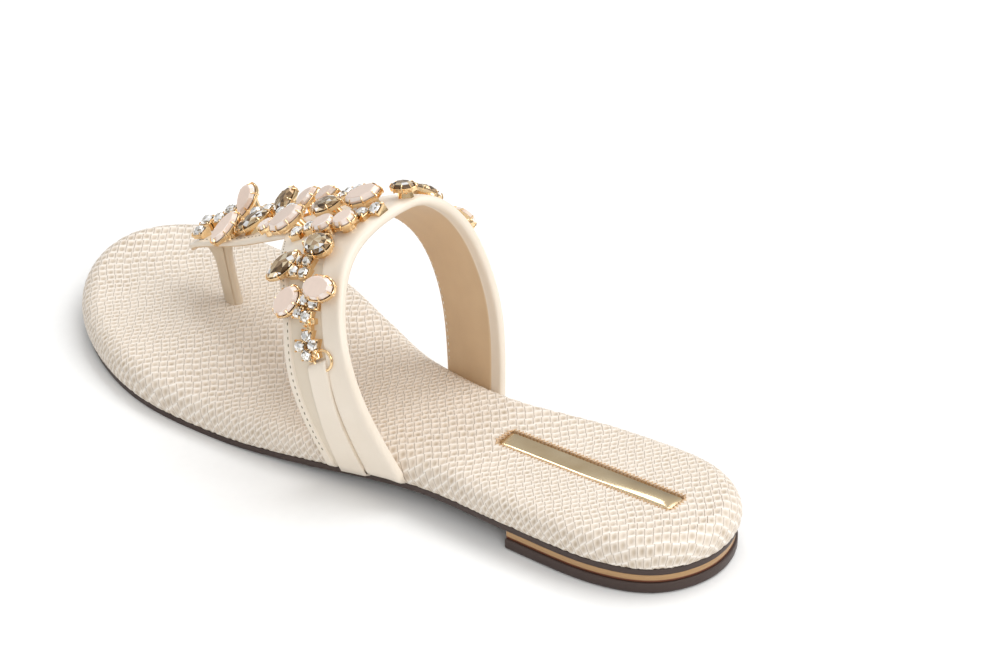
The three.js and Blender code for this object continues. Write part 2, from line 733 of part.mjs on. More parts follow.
// Nameplate let into the heel of the footbed, its corners cut.
function plaqueSolid(grow = 0) {
  const seat = new THREE.Matrix4().makeRotationZ(THREE.MathUtils.degToRad(90 + plaqueTurn));
  const y = footLength / 2 - plaqueFromHeel;
  seat.setPosition(plaqueAside, y, footbedTop(y) - plaqueWall);
  const corner = plaqueWidth / 5;
  const [long, wide] = [plaqueLength / 2 + grow, plaqueWidth / 2 + grow];
  const half = [
    [long, wide - corner], [long - corner, wide], [corner - long, wide], [-long, wide - corner],
  ];
  const outline = [...half, ...half.toReversed().map(([x, z]) => [x, -z])];
  const ring = (height) => outline.map(([x, z]) => new THREE.Vector3(x, z, height));
  return toSolid(loft([ring(-grow), ring(plaqueWall + grow)]).applyMatrix4(seat));
}

const heelReach = heelLength / footLength;
const outsoleFloor = -gap - outsoleWall;
const bandFloor = outsoleFloor - gap - heelBandWall;
const liftFloor = bandFloor - gap - liftWall;

const outsole = layerSolid(outsoleInset, outsoleFloor, outsoleWall, stationCount, 1);
const heelBand = layerSolid(heelBandInset, bandFloor, heelBandWall, heelStationCount, heelReach);
const heelLift = layerSolid(liftInset, liftFloor, liftWall, heelStationCount, heelReach, liftRound);
const footbed = cutFrom(footbedSolid(), [bandSolid(gap), postSolid(gap), plaqueSolid(gap)]);
addPiece("outsole", outsole, rubber);
addPiece("heel_band", heelBand, tanEdge);
addPiece("heel_lift", heelLift, rubber);
addPiece("footbed", footbed, embossed);
addPiece("plaque", plaqueSolid(), foil);
addPiece("upper", joinAll([bandSolid(), thongSolid(), postSolid()]), leather);

// Rings that carry the jewels' lower ends and pass through the folds of the tabs.
function ringSolid(inner, grow = 0) {
  const seat = seatOn(alongY(ringAt), inner ? 180 - ringAngle : ringAngle, ringLift);
  return toSolid(new THREE.TorusGeometry(ringRadius, ringWire + grow, 6, 20).applyMatrix4(seat));
}

// Shortest chain of bars that joins all the jewels.
function chainLinks(jewels) {
  const place = jewels.map((jewel) => new THREE.Vector3().setFromMatrixPosition(jewel.seat));
  const joined = [0];
  const links = [];
  while (joined.length < jewels.length) {
    let best = { distance: Infinity };
    for (const from of joined) {
      for (let to = 0; to < jewels.length; to++) {
        const distance = place[from].distanceTo(place[to]);
        if (!joined.includes(to) && distance < best.distance) best = { from, to, distance };
      }
    }
    joined.push(best.to);
    links.push(linkSolid(jewels[best.from], jewels[best.to]));
  }
  return links;
}

const rings = { outer: ringSolid(false), inner: ringSolid(true) };
const ringSpaces = [ringSolid(false, gap), ringSolid(true, gap)];
const setting = joinAll([
  ...stones.map((stone) => cupSolid(stone)),
  ...crystals.map(crystalSolid),
  ...chainLinks([...stones, ...crystals]),
]);
const stoneSpaces = stones.map((stone) => stoneSolid(stone, clearance));
const spaces = [bandSolid(clearance), thongSolid(clearance), ...ringSpaces, ...stoneSpaces];
addPiece("setting", cutFrom(setting, spaces).asOriginal().simplify(settingFinish), gold);

for (const side of ["outer", "inner"]) {
  addPiece(`tab_${side}`, cutFrom(tabSolid(side === "inner"), ringSpaces), leather);
  addPiece(`ring_${side}`, rings[side], gold);
}
for (const stone of stones) {
  const dark = smokyStones.some((name) => stone.name.endsWith(name));
  addPiece(stone.name, stoneSolid(stone), dark ? smoky : milky);
}

export default part;
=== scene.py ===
import math

import bmesh
import bpy
import numpy as np
from mathutils import Matrix, Vector
from mathutils.bvhtree import BVHTree


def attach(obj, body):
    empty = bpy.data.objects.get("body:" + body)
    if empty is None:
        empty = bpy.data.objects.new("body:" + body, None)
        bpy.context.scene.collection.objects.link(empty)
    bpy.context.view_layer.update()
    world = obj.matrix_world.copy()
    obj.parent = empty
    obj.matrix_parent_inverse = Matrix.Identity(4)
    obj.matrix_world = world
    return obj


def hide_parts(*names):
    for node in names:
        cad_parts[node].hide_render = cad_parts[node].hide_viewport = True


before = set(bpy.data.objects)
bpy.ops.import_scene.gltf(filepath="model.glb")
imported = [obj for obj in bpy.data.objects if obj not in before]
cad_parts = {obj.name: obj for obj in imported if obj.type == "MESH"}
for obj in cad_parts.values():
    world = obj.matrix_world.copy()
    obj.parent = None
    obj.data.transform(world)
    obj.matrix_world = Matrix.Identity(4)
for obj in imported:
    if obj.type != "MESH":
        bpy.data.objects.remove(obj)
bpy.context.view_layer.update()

# A woman's flat thong slide with a jewelled instep strap, left foot. Shapes are worked out in mm,
# toe towards -Y, outer side towards +X, floor at z = 0, and turned to metres when a mesh is made.

# gap is the glue line between two layers
sole = {
    "length": 250, "ballWidth": 86.5, "waistWidth": 48.6, "heelWidth": 55, "toeSpring": 4.7,
    "waistStart": 0.28, "waistEnd": 0.64, "springStart": 0.76, "springPower": 1.7, "gap": 0.3,
    "footbedWall": 8.5, "outsoleWall": 1.8, "heelBandWall": 2, "liftWall": 3.4, "heelLength": 54,
}
# share of the length from the heel, ruling width, outer side, inner side
outlineRows = [
    (0, "heelWidth", 0.006, 0.006), (0.03, "heelWidth", 0.347, -0.345),
    (0.1, "heelWidth", 0.5, -0.5), (0.22, "heelWidth", 0.545, -0.455),
    (0.36, "waistWidth", 0.646, -0.362), (0.5, "waistWidth", 0.782, -0.457),
    (0.62, "ballWidth", 0.494, -0.386), (0.74, "ballWidth", 0.502, -0.498),
    (0.85, "ballWidth", 0.415, -0.49), (0.94, "ballWidth", 0.246, -0.425),
    (1, "ballWidth", -0.127, -0.127),
]


def smoothCurve(rows):
    at, value = np.array(rows, float).T
    slopes = np.gradient(value)
    slopes[1:-1] = (value[2:] - value[:-2]) / (at[2:] - at[:-2])
    slopes[0] = (value[1] - value[0]) / (at[1] - at[0])
    slopes[-1] = (value[-1] - value[-2]) / (at[-1] - at[-2])

    def curve(place):
        i = np.clip(np.searchsorted(at, place, side="right") - 1, 0, len(at) - 2)
        span = at[i + 1] - at[i]
        t = np.clip((place - at[i]) / span, 0, 1)
        rest = 1 - t
        return (value[i] * (1 + 2 * t) * rest**2 + value[i + 1] * (3 - 2 * t) * t**2
                + span * t * rest * (slopes[i] * rest - slopes[i + 1] * t))
    return curve


def smoothStep(value, low, high):
    t = np.clip((value - low) / (high - low), 0, 1)
    return t * t * (3 - 2 * t)


def unit(vectors):
    return vectors / np.maximum(np.linalg.norm(vectors, axis=-1, keepdims=True), 1e-12)


def sideAngle(share):
    return np.arccos(1 - 2 * np.clip(share, 0, 1))


sideCurves = {
    side: smoothCurve([(sideAngle(row[0]), row[column] * sole[row[1]]) for row in outlineRows])
    for side, column in (("outer", 2), ("inner", 3))
}


def alongY(share):
    return sole["length"] * (0.5 - share)


def shareOf(y):
    return np.clip(0.5 - y / sole["length"], 0, 1)


def edgeX(side, y):
    return sideCurves[side](sideAngle(shareOf(y)))


def underside(y):
    ball = sole["outsoleWall"] + sole["gap"]
    heel = ball + sole["heelBandWall"] + sole["liftWall"] + 2 * sole["gap"]
    share = shareOf(y)
    spring = np.maximum((share - sole["springStart"]) / (1 - sole["springStart"]), 0)
    slope = heel + (ball - heel) * smoothStep(share, sole["waistStart"], sole["waistEnd"])
    return slope + sole["toeSpring"] * spring ** sole["springPower"]


def footbedTop(y):
    return underside(y) + sole["footbedWall"]


def sideLine(side, count, reach=1.0):
    # evenly spaced points down one side of the sole, and their outward directions
    def at(angle):
        return np.stack([sideCurves[side](angle), alongY((1 - np.cos(angle)) / 2)], -1)
    fine = np.linspace(0, sideAngle(reach), 4000)
    run = np.concatenate([[0], np.cumsum(np.linalg.norm(np.diff(at(fine), axis=0), axis=1))])
    places = (np.arange(count) + 0.5) / (count if reach == 1 else count - 0.5)
    angle = np.interp(places * run[-1], run, fine)
    along = unit(at(np.minimum(angle + 1e-3, np.pi)) - at(angle - 1e-3))
    sign = 1 if side == "outer" else -1
    return at(angle), np.stack([-along[:, 1], along[:, 0]], -1) * sign


# Materials

def linearColour(hexColour):
    channels = [int(hexColour[i:i + 2], 16) / 255 for i in (1, 3, 5)]
    return (*[c / 12.92 if c <= 0.04045 else ((c + 0.055) / 1.055) ** 2.4 for c in channels], 1)


def addNode(tree, kind, inputs=(), **settings):
    node = tree.nodes.new("ShaderNode" + kind)
    for name, value in settings.items():
        setattr(node, name, value)
    sockets = [socket for socket in node.inputs if socket.enabled]
    for key, value in inputs.items() if isinstance(inputs, dict) else enumerate(inputs):
        socket = sockets[key] if isinstance(key, int) else next(s for s in sockets if s.name == key)
        if isinstance(value, bpy.types.Node):
            value = next(output for output in value.outputs if output.enabled)
        if isinstance(value, bpy.types.NodeSocket):
            tree.links.new(value, socket)
        else:
            socket.default_value = value
    return node


def newMaterial(name):
    material = bpy.data.materials.new(name)
    material.use_nodes = True
    material.node_tree.nodes.clear()
    return material, material.node_tree


def finishMaterial(tree, inputs):
    shader = addNode(tree, "BsdfPrincipled", inputs)
    addNode(tree, "OutputMaterial", {"Surface": shader})


def leatherMaterial(name, look):
    # Calf leather with a satin resin finish: colour clouds a little, pores catch small lights,
    # and the finish rubs glossier in patches.
    material, tree = newMaterial(name)
    place = addNode(tree, "TexCoord").outputs["Object"]
    clouds = addNode(tree, "TexNoise", {
        "Vector": place, "Scale": 1000 / look["cloudSize"], "Detail": 3.0,
    })
    both = linearColour(look["shade"]), linearColour(look["colour"])
    colour = addNode(tree, "Mix", (clouds, *both), data_type="RGBA")
    gloss = addNode(tree, "MapRange", {
        "Value": clouds, "From Min": 0.3, "From Max": 0.7,
        "To Min": look["roughness"] - 0.05, "To Max": look["roughness"] + 0.07,
    })
    pores = addNode(tree, "TexVoronoi", {"Vector": place, "Scale": 1000 / look["poreSize"]})
    creases = addNode(tree, "TexNoise", {
        "Vector": place, "Scale": 1000 / look["creaseSize"], "Detail": 4.0,
    })
    height = addNode(tree, "Math", (creases, look["creaseShare"], pores), operation="MULTIPLY_ADD")
    bump = addNode(tree, "Bump", {
        "Strength": look["bump"], "Distance": look["depth"] / 1000, "Height": height,
    })
    finishMaterial(tree, {
        "Base Color": colour, "Roughness": gloss, "Normal": bump, "IOR": 1.5,
        "Coat Weight": look["coat"], "Coat Roughness": 0.22, "Sheen Weight": 0.03,
    })
    return material


# sizes and depths in mm
leathers = {
    "satinCalf": {  # band edge, strap and tabs: the palest and glossiest
        "colour": "#F2E7D8", "shade": "#E7D9C6", "cloudSize": 14, "roughness": 0.38, "poreSize": 0.7,
        "creaseSize": 3.0, "creaseShare": 1.5, "bump": 0.12, "depth": 0.06, "coat": 0.3,
    },
    "shadedPanelCalf": {  # sunk panel of the band: duller, its colour darkened as painted shade of the recess
        "colour": "#E4D8C6", "shade": "#D8CAB5", "cloudSize": 16, "roughness": 0.42, "poreSize": 0.7,
        "creaseSize": 3.0, "creaseShare": 1.5, "bump": 0.12, "depth": 0.06, "coat": 0.2,
    },
    "shadedPostCalf": {  # toe post, creased, its colour darkened as painted shade
        "colour": "#DDCDB6", "shade": "#C9B396", "cloudSize": 8, "roughness": 0.4, "poreSize": 0.7,
        "creaseSize": 2.5, "creaseShare": 2.0, "bump": 0.15, "depth": 0.06, "coat": 0.25,
    },
    "turnedEdge": {  # skived edge of the lining, turned over the band
        "colour": "#E9D0AE", "shade": "#DDC19C", "cloudSize": 9, "roughness": 0.42, "poreSize": 0.6,
        "creaseSize": 4.0, "creaseShare": 2.0, "bump": 0.1, "depth": 0.06, "coat": 0.2,
    },
    "liningCalf": {  # unfinished tan lining: matt, with long creases
        "colour": "#E0C49F", "shade": "#CFB08A", "cloudSize": 9, "roughness": 0.48, "poreSize": 0.5,
        "creaseSize": 5.0, "creaseShare": 3.0, "bump": 0.25, "depth": 0.12, "coat": 0.1,
    },
}
leather = {name: leatherMaterial(name, look) for name, look in leathers.items()}


def metalMaterial(name, colour, shade, roughness, markSize, dent):
    # Gold-plated brass, cast and tumbled: bright, warm, with faint tumbling marks, and shade painted
    # darker in their dips.
    material, tree = newMaterial(name)
    place = addNode(tree, "TexCoord").outputs["Object"]
    marks = addNode(tree, "TexNoise", {"Vector": place, "Scale": 1000 / markSize, "Detail": 4.0})
    # the shade colour is painted shade, darkest where the marks dip
    tone = addNode(tree, "Mix", (marks, linearColour(shade), linearColour(colour)), data_type="RGBA")
    gloss = addNode(tree, "MapRange", {
        "Value": marks, "To Min": roughness - 0.06, "To Max": roughness + 0.1,
    })
    bump = addNode(tree, "Bump", {"Strength": 0.3, "Distance": dent / 1000, "Height": marks})
    finishMaterial(tree, {"Base Color": tone, "Roughness": gloss, "Metallic": 1.0, "Normal": bump})
    return material


gold = metalMaterial(
    "platedGold", colour="#FDE6BC", shade="#EBBE84", roughness=0.13, markSize=1.0, dent=0.12,
)
# Polished foil on a stiff plate: paler, a nearly flat mirror that waves slowly along it.
goldFoil = metalMaterial(
    "mirrorGoldFoil", colour="#DCCBAC", shade="#BFA67E", roughness=0.15, markSize=9, dent=0.05,
)


glassCloud = 1.43  # mm across a faint cloud in the glass


def glassMaterial(name, roughness, metallic, coat, depth):
    # Cut glass with a foiled back: each facet carries its own tone in the mesh, partly the glass's colour
    # and partly a bright or dark reflection painted on it, and the polished face adds hard lights.
    material, tree = newMaterial(name)
    facetColourAndReflection = addNode(tree, "Attribute", attribute_name="facet").outputs["Color"]
    place = addNode(tree, "TexCoord").outputs["Object"]
    cloud = addNode(tree, "TexNoise", {"Vector": place, "Scale": 1000 / glassCloud, "Detail": 2.0})
    tone = addNode(tree, "MapRange", {
        "Value": cloud, "From Min": 0.3, "From Max": 0.7, "To Min": 1 - depth, "To Max": 1 + depth,
    })
    colour = addNode(tree, "Mix", (1.0, facetColourAndReflection, tone), data_type="RGBA", blend_type="MULTIPLY")
    finishMaterial(tree, {
        "Base Color": colour, "Roughness": roughness, "Metallic": metallic, "IOR": 1.55,
        "Coat Weight": coat, "Coat Roughness": 0.03,
    })
    return material


milkyGlass = glassMaterial("opalGlass", roughness=0.3, metallic=0.0, coat=0.7, depth=0.02)
smokyGlass = glassMaterial("smokedFoiledGlass", roughness=0.07, metallic=0.7, coat=1.0, depth=0.06)
clearGlass = glassMaterial("clearFoiledGlass", roughness=0.05, metallic=0.65, coat=1.0, depth=0.05)


def rubberMaterial(name, colour, shade, roughness, grain, cloudSize):
    # Moulded rubber with a fine stipple: an even matt face with a soft light along its edges.
    material, tree = newMaterial(name)
    place = addNode(tree, "TexCoord").outputs["Object"]
    clouds = addNode(tree, "TexNoise", {"Vector": place, "Scale": 1000 / cloudSize, "Detail": 3.0})
    tone = addNode(tree, "Mix", (clouds, linearColour(shade), linearColour(colour)), data_type="RGBA")
    stipple = addNode(tree, "TexNoise", {"Vector": place, "Scale": 1000 / grain, "Detail": 2.0})
    bump = addNode(tree, "Bump", {"Strength": 0.2, "Distance": 0.00006, "Height": stipple})
    gloss = addNode(tree, "MapRange", {
        "Value": stipple, "To Min": roughness - 0.06, "To Max": roughness + 0.08,
    })
    finishMaterial(tree, {
        "Base Color": tone, "Roughness": gloss, "Normal": bump,
        "Coat Weight": 0.1, "Coat Roughness": 0.35,
    })
    return material


darkRubber = rubberMaterial(
    "stippledRubber", colour="#43312A", shade="#372722", roughness=0.5, grain=0.6, cloudSize=11.1,
)
# paintTop is the height of the painted line, and the grain's length and width are in mm too
heelBoardLook = {
    "light": "#C39A68", "dark": "#A07A4E", "paint": "#6B3A22", "paintTop": 4.2, "grainLong": 16.67,
    "grainWide": 0.625,
}


def stackedMaterial():
    # Stacked heel board, edges burnished and waxed: a golden tan band with a fine grain along it,
    # over a thin red-brown line of edge paint.
    material, tree = newMaterial("burnishedHeelBoard")
    place = addNode(tree, "TexCoord").outputs["Object"]
    look = heelBoardLook
    grainScale = (1000 / look["grainLong"], 1000 / look["grainLong"], 1000 / look["grainWide"])
    stretched = addNode(tree, "Mapping", {"Vector": place, "Scale": grainScale})
    grain = addNode(tree, "TexNoise", {"Vector": stretched, "Scale": 1.0, "Detail": 3.0})
    both = linearColour(look["dark"]), linearColour(look["light"])
    tan = addNode(tree, "Mix", (grain, *both), data_type="RGBA")
    height = addNode(tree, "SeparateXYZ", (place,)).outputs["Z"]
    paintTop = look["paintTop"] / 1000
    line = addNode(tree, "MapRange", {
        "Value": height, "From Min": paintTop - 0.0001, "From Max": paintTop + 0.0001,
        "To Min": 1.0, "To Max": 0.0,
    })
    tone = addNode(tree, "Mix", (line, tan, linearColour(look["paint"])), data_type="RGBA")
    bump = addNode(tree, "Bump", {"Strength": 0.2, "Distance": 0.00005, "Height": grain})
    finishMaterial(tree, {
        "Base Color": tone, "Roughness": 0.36, "Normal": bump,
        "Coat Weight": 0.3, "Coat Roughness": 0.2,
    })
    return material


heelBoard = stackedMaterial()


plyPitch = 0.403  # mm from one ply mark to the next
wavePeriod = 2 * math.pi / (10 * math.sqrt(3))  # of a wave node of scale 1, along its diagonal


def threadMaterial(name, colour, shade, metallic):
    # Twisted polyester thread: slanting ply marks and a dull sheen.
    material, tree = newMaterial(name)
    place = addNode(tree, "TexCoord").outputs["Object"]
    ply = addNode(
        tree, "TexWave",
        {"Vector": place, "Scale": 1000 * wavePeriod / plyPitch, "Distortion": 1.5},
        bands_direction="DIAGONAL",
    )
    tone = addNode(tree, "Mix", (ply, linearColour(shade), linearColour(colour)), data_type="RGBA")
    bump = addNode(tree, "Bump", {"Strength": 0.3, "Distance": 0.00005, "Height": ply})
    finishMaterial(tree, {
        "Base Color": tone, "Roughness": 0.45, "Metallic": metallic, "Normal": bump,
        "Sheen Weight": 0.2,
    })
    return material


oliveThread = threadMaterial("oliveThread", "#8C8468", "#6A634C", 0.0)
whiteThread = threadMaterial("whiteThread", "#F6F0E6", "#DDD2C2", 0.0)
goldThread = threadMaterial("goldThread", "#EBCBA2", "#CFA06C", 0.2)


# Embossing of the footbed, one table of steps for its mesh and for its material. u runs along
# the grooves and v across them, in mm. A step is name, sum, inputs, and whether it is clamped.
# Sizes and relief are in mm; span is how many mm of leather the UV square holds.
emboss = {
    "turn": 42.2, "across": 2.45, "along": 2.55, "slant": 0.28, "relief": 0.32, "start": 0.9,
    "end": 2.2, "cloudSize": 18.2, "pitShadeCloudSize": 5.26, "poreSize": 0.714, "span": 300,
    # crest is a painted highlight, pit a painted shade, and the colour round the plate a painted shadow
    "ridge": "#EBDFD1", "flat": "#DFD2C2", "crest": "#FAF3EA", "pit": "#B9A78F", "groove": "#97866F",
    "paintedPlateShadow": "#9A7242",
}
embossSteps = [
    ("slowU", "MULTIPLY", ("u", 1 / 9), False),
    ("swayAngle", "MULTIPLY_ADD", ("v", 0.031, "slowU"), False),
    ("sway", "SINE", ("swayAngle",), False),
    ("driftAngle", "MULTIPLY", ("v", 1 / 23), False),
    ("driftAngle", "MULTIPLY_ADD", ("u", 1 / 15, "driftAngle"), False),
    ("drift", "SINE", ("driftAngle",), False),
    ("row", "MULTIPLY", ("u", 1 / emboss["along"]), False),
    ("row", "MULTIPLY_ADD", ("v", emboss["slant"] / emboss["along"], "row"), False),
    ("row", "MULTIPLY_ADD", ("drift", 1.7, "row"), False),
    ("rowNumber", "FLOOR", ("row",), False),
    ("jog", "MULTIPLY", ("rowNumber", 2.4), False),
    ("jog", "SINE", ("jog",), False),
    ("column", "MULTIPLY", ("v", 1 / emboss["across"]), False),
    ("column", "MULTIPLY_ADD", ("sway", 0.24, "column"), False),
    ("column", "MULTIPLY_ADD", ("jog", 0.16, "column"), False),
    ("columnNumber", "FLOOR", ("column",), False),
    ("stagger", "MULTIPLY", ("columnNumber", 1.9), False),
    ("stagger", "SINE", ("stagger",), False),
    ("rowShifted", "MULTIPLY_ADD", ("stagger", 0.12, "row"), False),
    ("acrossWave", "MULTIPLY", ("column", math.pi), False),
    ("acrossWave", "SINE", ("acrossWave",), False),
    ("acrossWave", "ABSOLUTE", ("acrossWave",), False),
    ("alongWave", "MULTIPLY", ("rowShifted", math.pi), False),
    ("alongWave", "SINE", ("alongWave",), False),
    ("alongWave", "ABSOLUTE", ("alongWave",), False),
    ("both", "MULTIPLY", ("acrossWave", "alongWave"), False),
    ("pit", "MULTIPLY_ADD", ("both", 1.7, -0.65), True),
    ("groove", "MULTIPLY_ADD", ("acrossWave", -5.0, 1.0), True),
    ("crest", "MULTIPLY_ADD", ("alongWave", -2.6, 1.0), True),
    ("dip", "MULTIPLY", ("pit", 0.9), False),
    ("dip", "MULTIPLY_ADD", ("groove", 0.8, "dip"), False),
    ("dip", "MULTIPLY_ADD", ("crest", -0.35, "dip"), False),
]
sums = {
    "MULTIPLY": lambda a, b: a * b, "MULTIPLY_ADD": lambda a, b, c: a * b + c,
    "SINE": np.sin, "FLOOR": np.floor, "ABSOLUTE": np.abs,
}


def embossValues(x, y):
    turn = math.radians(emboss["turn"])
    values = {
        "u": x * math.cos(turn) + y * math.sin(turn),
        "v": y * math.cos(turn) - x * math.sin(turn),
    }
    for name, operation, inputs, clamped in embossSteps:
        result = sums[operation](*[values[i] if isinstance(i, str) else i for i in inputs])
        values[name] = np.clip(result, 0, 1) if clamped else result
    return values


def embossedMaterial():
    # Calf leather stamped with a lizard-like grid: painted highlights on the crests between the rows,
    # painted shade in the pits, thin dark lines between the columns, and a painted brown shadow round the
    # pocket the plate lies in.
    material, tree = newMaterial("stampedCalf")
    wrap = addNode(tree, "UVMap", uv_map="wrap")
    span = (float(emboss["span"]), float(emboss["span"]), 0.0)
    spread = addNode(tree, "VectorMath", (wrap, span), operation="MULTIPLY")
    turn = math.radians(emboss["turn"])
    values = {}
    alongGrooves = (math.cos(turn), math.sin(turn), 0)
    acrossGrooves = (-math.sin(turn), math.cos(turn), 0)
    for name, direction in (("u", alongGrooves), ("v", acrossGrooves)):
        dot = addNode(tree, "VectorMath", (spread, direction), operation="DOT_PRODUCT")
        values[name] = dot.outputs["Value"]
    for name, operation, inputs, clamped in embossSteps:
        sources = [values[i] if isinstance(i, str) else i for i in inputs]
        values[name] = addNode(tree, "Math", sources, operation=operation, use_clamp=clamped)
    place = addNode(tree, "TexCoord").outputs["Object"]
    fade = addNode(tree, "Attribute", attribute_name="stamped").outputs["Fac"]
    clouds = addNode(tree, "TexNoise", {
        "Vector": place, "Scale": 1000 / emboss["cloudSize"], "Detail": 3.0,
    })
    both = linearColour(emboss["flat"]), linearColour(emboss["ridge"])
    top = addNode(tree, "Mix", (clouds, *both), data_type="RGBA")
    pitShadeClouds = addNode(tree, "TexNoise", {"Vector": place, "Scale": 1000 / emboss["pitShadeCloudSize"], "Detail": 2.0})
    pitShadeStrength = addNode(tree, "MapRange", {
        "Value": pitShadeClouds, "From Min": 0.3, "From Max": 0.7, "To Min": 0.35, "To Max": 0.95,
    })
    # painted shade in the pits, its strength varied by slow clouds
    depth = addNode(tree, "Math", (values["pit"], pitShadeStrength), operation="MULTIPLY")
    depth = addNode(tree, "Math", (depth, fade), operation="MULTIPLY")
    # painted highlight along the crests between the rows
    crest = addNode(tree, "Math", (values["crest"], fade), operation="MULTIPLY")
    tone = addNode(tree, "Mix", (crest, top, linearColour(emboss["crest"])), data_type="RGBA")
    tone = addNode(tree, "Mix", (depth, tone, linearColour(emboss["pit"])), data_type="RGBA")
    line = addNode(tree, "Math", (values["groove"], fade), operation="MULTIPLY")
    line = addNode(tree, "Math", (line, 0.75), operation="MULTIPLY")
    tone = addNode(tree, "Mix", (line, tone, linearColour(emboss["groove"])), data_type="RGBA")
    # painted brown shadow round the pocket the plate lies in
    paintedPlateShadow = addNode(tree, "Attribute", attribute_name="paintedPlateShadow").outputs["Fac"]
    tone = addNode(tree, "Mix", (paintedPlateShadow, tone, linearColour(emboss["paintedPlateShadow"])), data_type="RGBA")
    relief = addNode(tree, "Math", (values["dip"], fade), operation="MULTIPLY")
    pores = addNode(tree, "TexNoise", {
        "Vector": place, "Scale": 1000 / emboss["poreSize"], "Detail": 2.0,
    })
    relief = addNode(tree, "Math", (pores, -0.12, relief), operation="MULTIPLY_ADD")
    bump = addNode(tree, "Bump", {"Strength": 0.6, "Distance": 0.00024, "Height": relief}, invert=True)
    gloss = addNode(tree, "MapRange", {"Value": values["pit"], "To Min": 0.42, "To Max": 0.6})
    finishMaterial(tree, {
        "Base Color": tone, "Roughness": gloss, "Normal": bump, "IOR": 1.5,
        "Coat Weight": 0.12, "Coat Roughness": 0.3,
    })
    return material


stampedLeather = embossedMaterial()
print("materials made")


# Meshes

def joinParts(parts):
    points, faces, looks, offset = [], [], [], 0
    for partPoints, partFaces, look in parts:
        partPoints = np.asarray(partPoints, float).reshape(-1, 3)
        points.append(partPoints)
        partFaces = partFaces.tolist() if isinstance(partFaces, np.ndarray) else partFaces
        faces += [[offset + i for i in face] for face in partFaces]
        looks += [look] * len(partFaces) if np.isscalar(look) else list(look)
        offset += len(partPoints)
    return np.concatenate(points), faces, looks


def makePiece(name, parts, finishes, replaced=(), smooth=True, sharpAngle=None):
    points, faces, looks = joinParts(parts)
    mesh = bpy.data.meshes.new(name)
    mesh.from_pydata((points / 1000).tolist(), [], faces)
    for finish in finishes:
        mesh.materials.append(finish)
    mesh.polygons.foreach_set("material_index", looks)
    shape = bmesh.new()
    shape.from_mesh(mesh)
    bmesh.ops.recalc_face_normals(shape, faces=shape.faces)
    shape.to_mesh(mesh)
    shape.free()
    mesh.polygons.foreach_set("use_smooth", [smooth] * len(mesh.polygons))
    if sharpAngle:
        mesh.set_sharp_from_angle(angle=math.radians(sharpAngle))
    mesh.update()
    piece = bpy.data.objects.new(name, mesh)
    bpy.context.scene.collection.objects.link(piece)
    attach(piece, "root")
    if replaced:
        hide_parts(*replaced)
    return piece


def loft(rings, capped=True):
    rings = np.asarray(rings, float)
    rows, count = rings.shape[:2]
    index = np.arange(rows * count).reshape(rows, count)
    low, high = index[:-1], index[1:]
    faces = np.stack([low, np.roll(low, -1, 1), np.roll(high, -1, 1), high], -1).reshape(-1, 4)
    if capped:
        i = np.arange(count // 2 - 1)
        for ring, turned in ((index[0], True), (index[-1], False)):
            cap = np.stack([ring[i], ring[i + 1], ring[count - 2 - i], ring[count - 1 - i]], -1)
            faces = np.concatenate([faces, cap[:, ::-1] if turned else cap])
    return rings.reshape(-1, 3), faces


def tube(path, radii, sides=6, closed=False):
    path = np.asarray(path, float)
    ahead = np.roll(path, -1, 0) - np.roll(path, 1, 0) if closed else np.gradient(path, axis=0)
    ahead = unit(ahead)
    side = np.cross(ahead[0], [0.3, 0.2, 0.93])
    turns = 2 * np.pi * np.arange(sides) / sides
    rings = []
    for point, direction, radius in zip(path, ahead, np.broadcast_to(radii, len(path))):
        side = unit(side - direction * (side @ direction))
        up = np.cross(direction, side)
        rings.append(point + radius * (np.outer(np.cos(turns), side) + np.outer(np.sin(turns), up)))
    if closed:
        rings.append(rings[0])
        points, faces = loft(rings, capped=False)
        wrap = len(path) * sides
        return points[:wrap], faces % wrap
    return loft(rings)


# Sole: footbed, outsole, heel band and lift

# footbedEdge runs round the rim from the underside to the top: inset and height as shares
footbed = {"stations": 500, "across": 112, "edgeRound": 4.5, "rimSteps": 17}
footbedEdge = [(0.55, 0), (0.2, 0.02), (0.04, 0.18), (0, 0.41), (0.12, 0.65), (0.42, 0.85), (1, 1)]
plaque = {
    "length": 59.3, "width": 7.4, "wall": 0.6, "aside": 1.2, "fromHeel": 46.5, "turn": 5,
    "dome": 0.55, "lowDome": 0.15, "sunk": 0.2, "endNarrowing": 0.5, "rolledEdge": 0.18,
    "stitchStep": 0.62, "stitchIn": 0.25, "stitchOut": 1.3, "thread": 0.25,
}


def plaquePlace(x, y):
    # place in the plate's own frame: along it, across it
    turn = math.radians(90 + plaque["turn"])
    dx, dy = x - plaque["aside"], y - (sole["length"] / 2 - plaque["fromHeel"])
    return dx * math.cos(turn) + dy * math.sin(turn), dy * math.cos(turn) - dx * math.sin(turn)


def outsidePlaque(x, y):
    along, across = plaquePlace(x, y)
    beyondEnd = np.maximum(np.abs(along) - plaque["length"] / 2, 0)
    beyondSide = np.maximum(np.abs(across) - plaque["width"] / 2, 0)
    return np.hypot(beyondEnd, beyondSide)


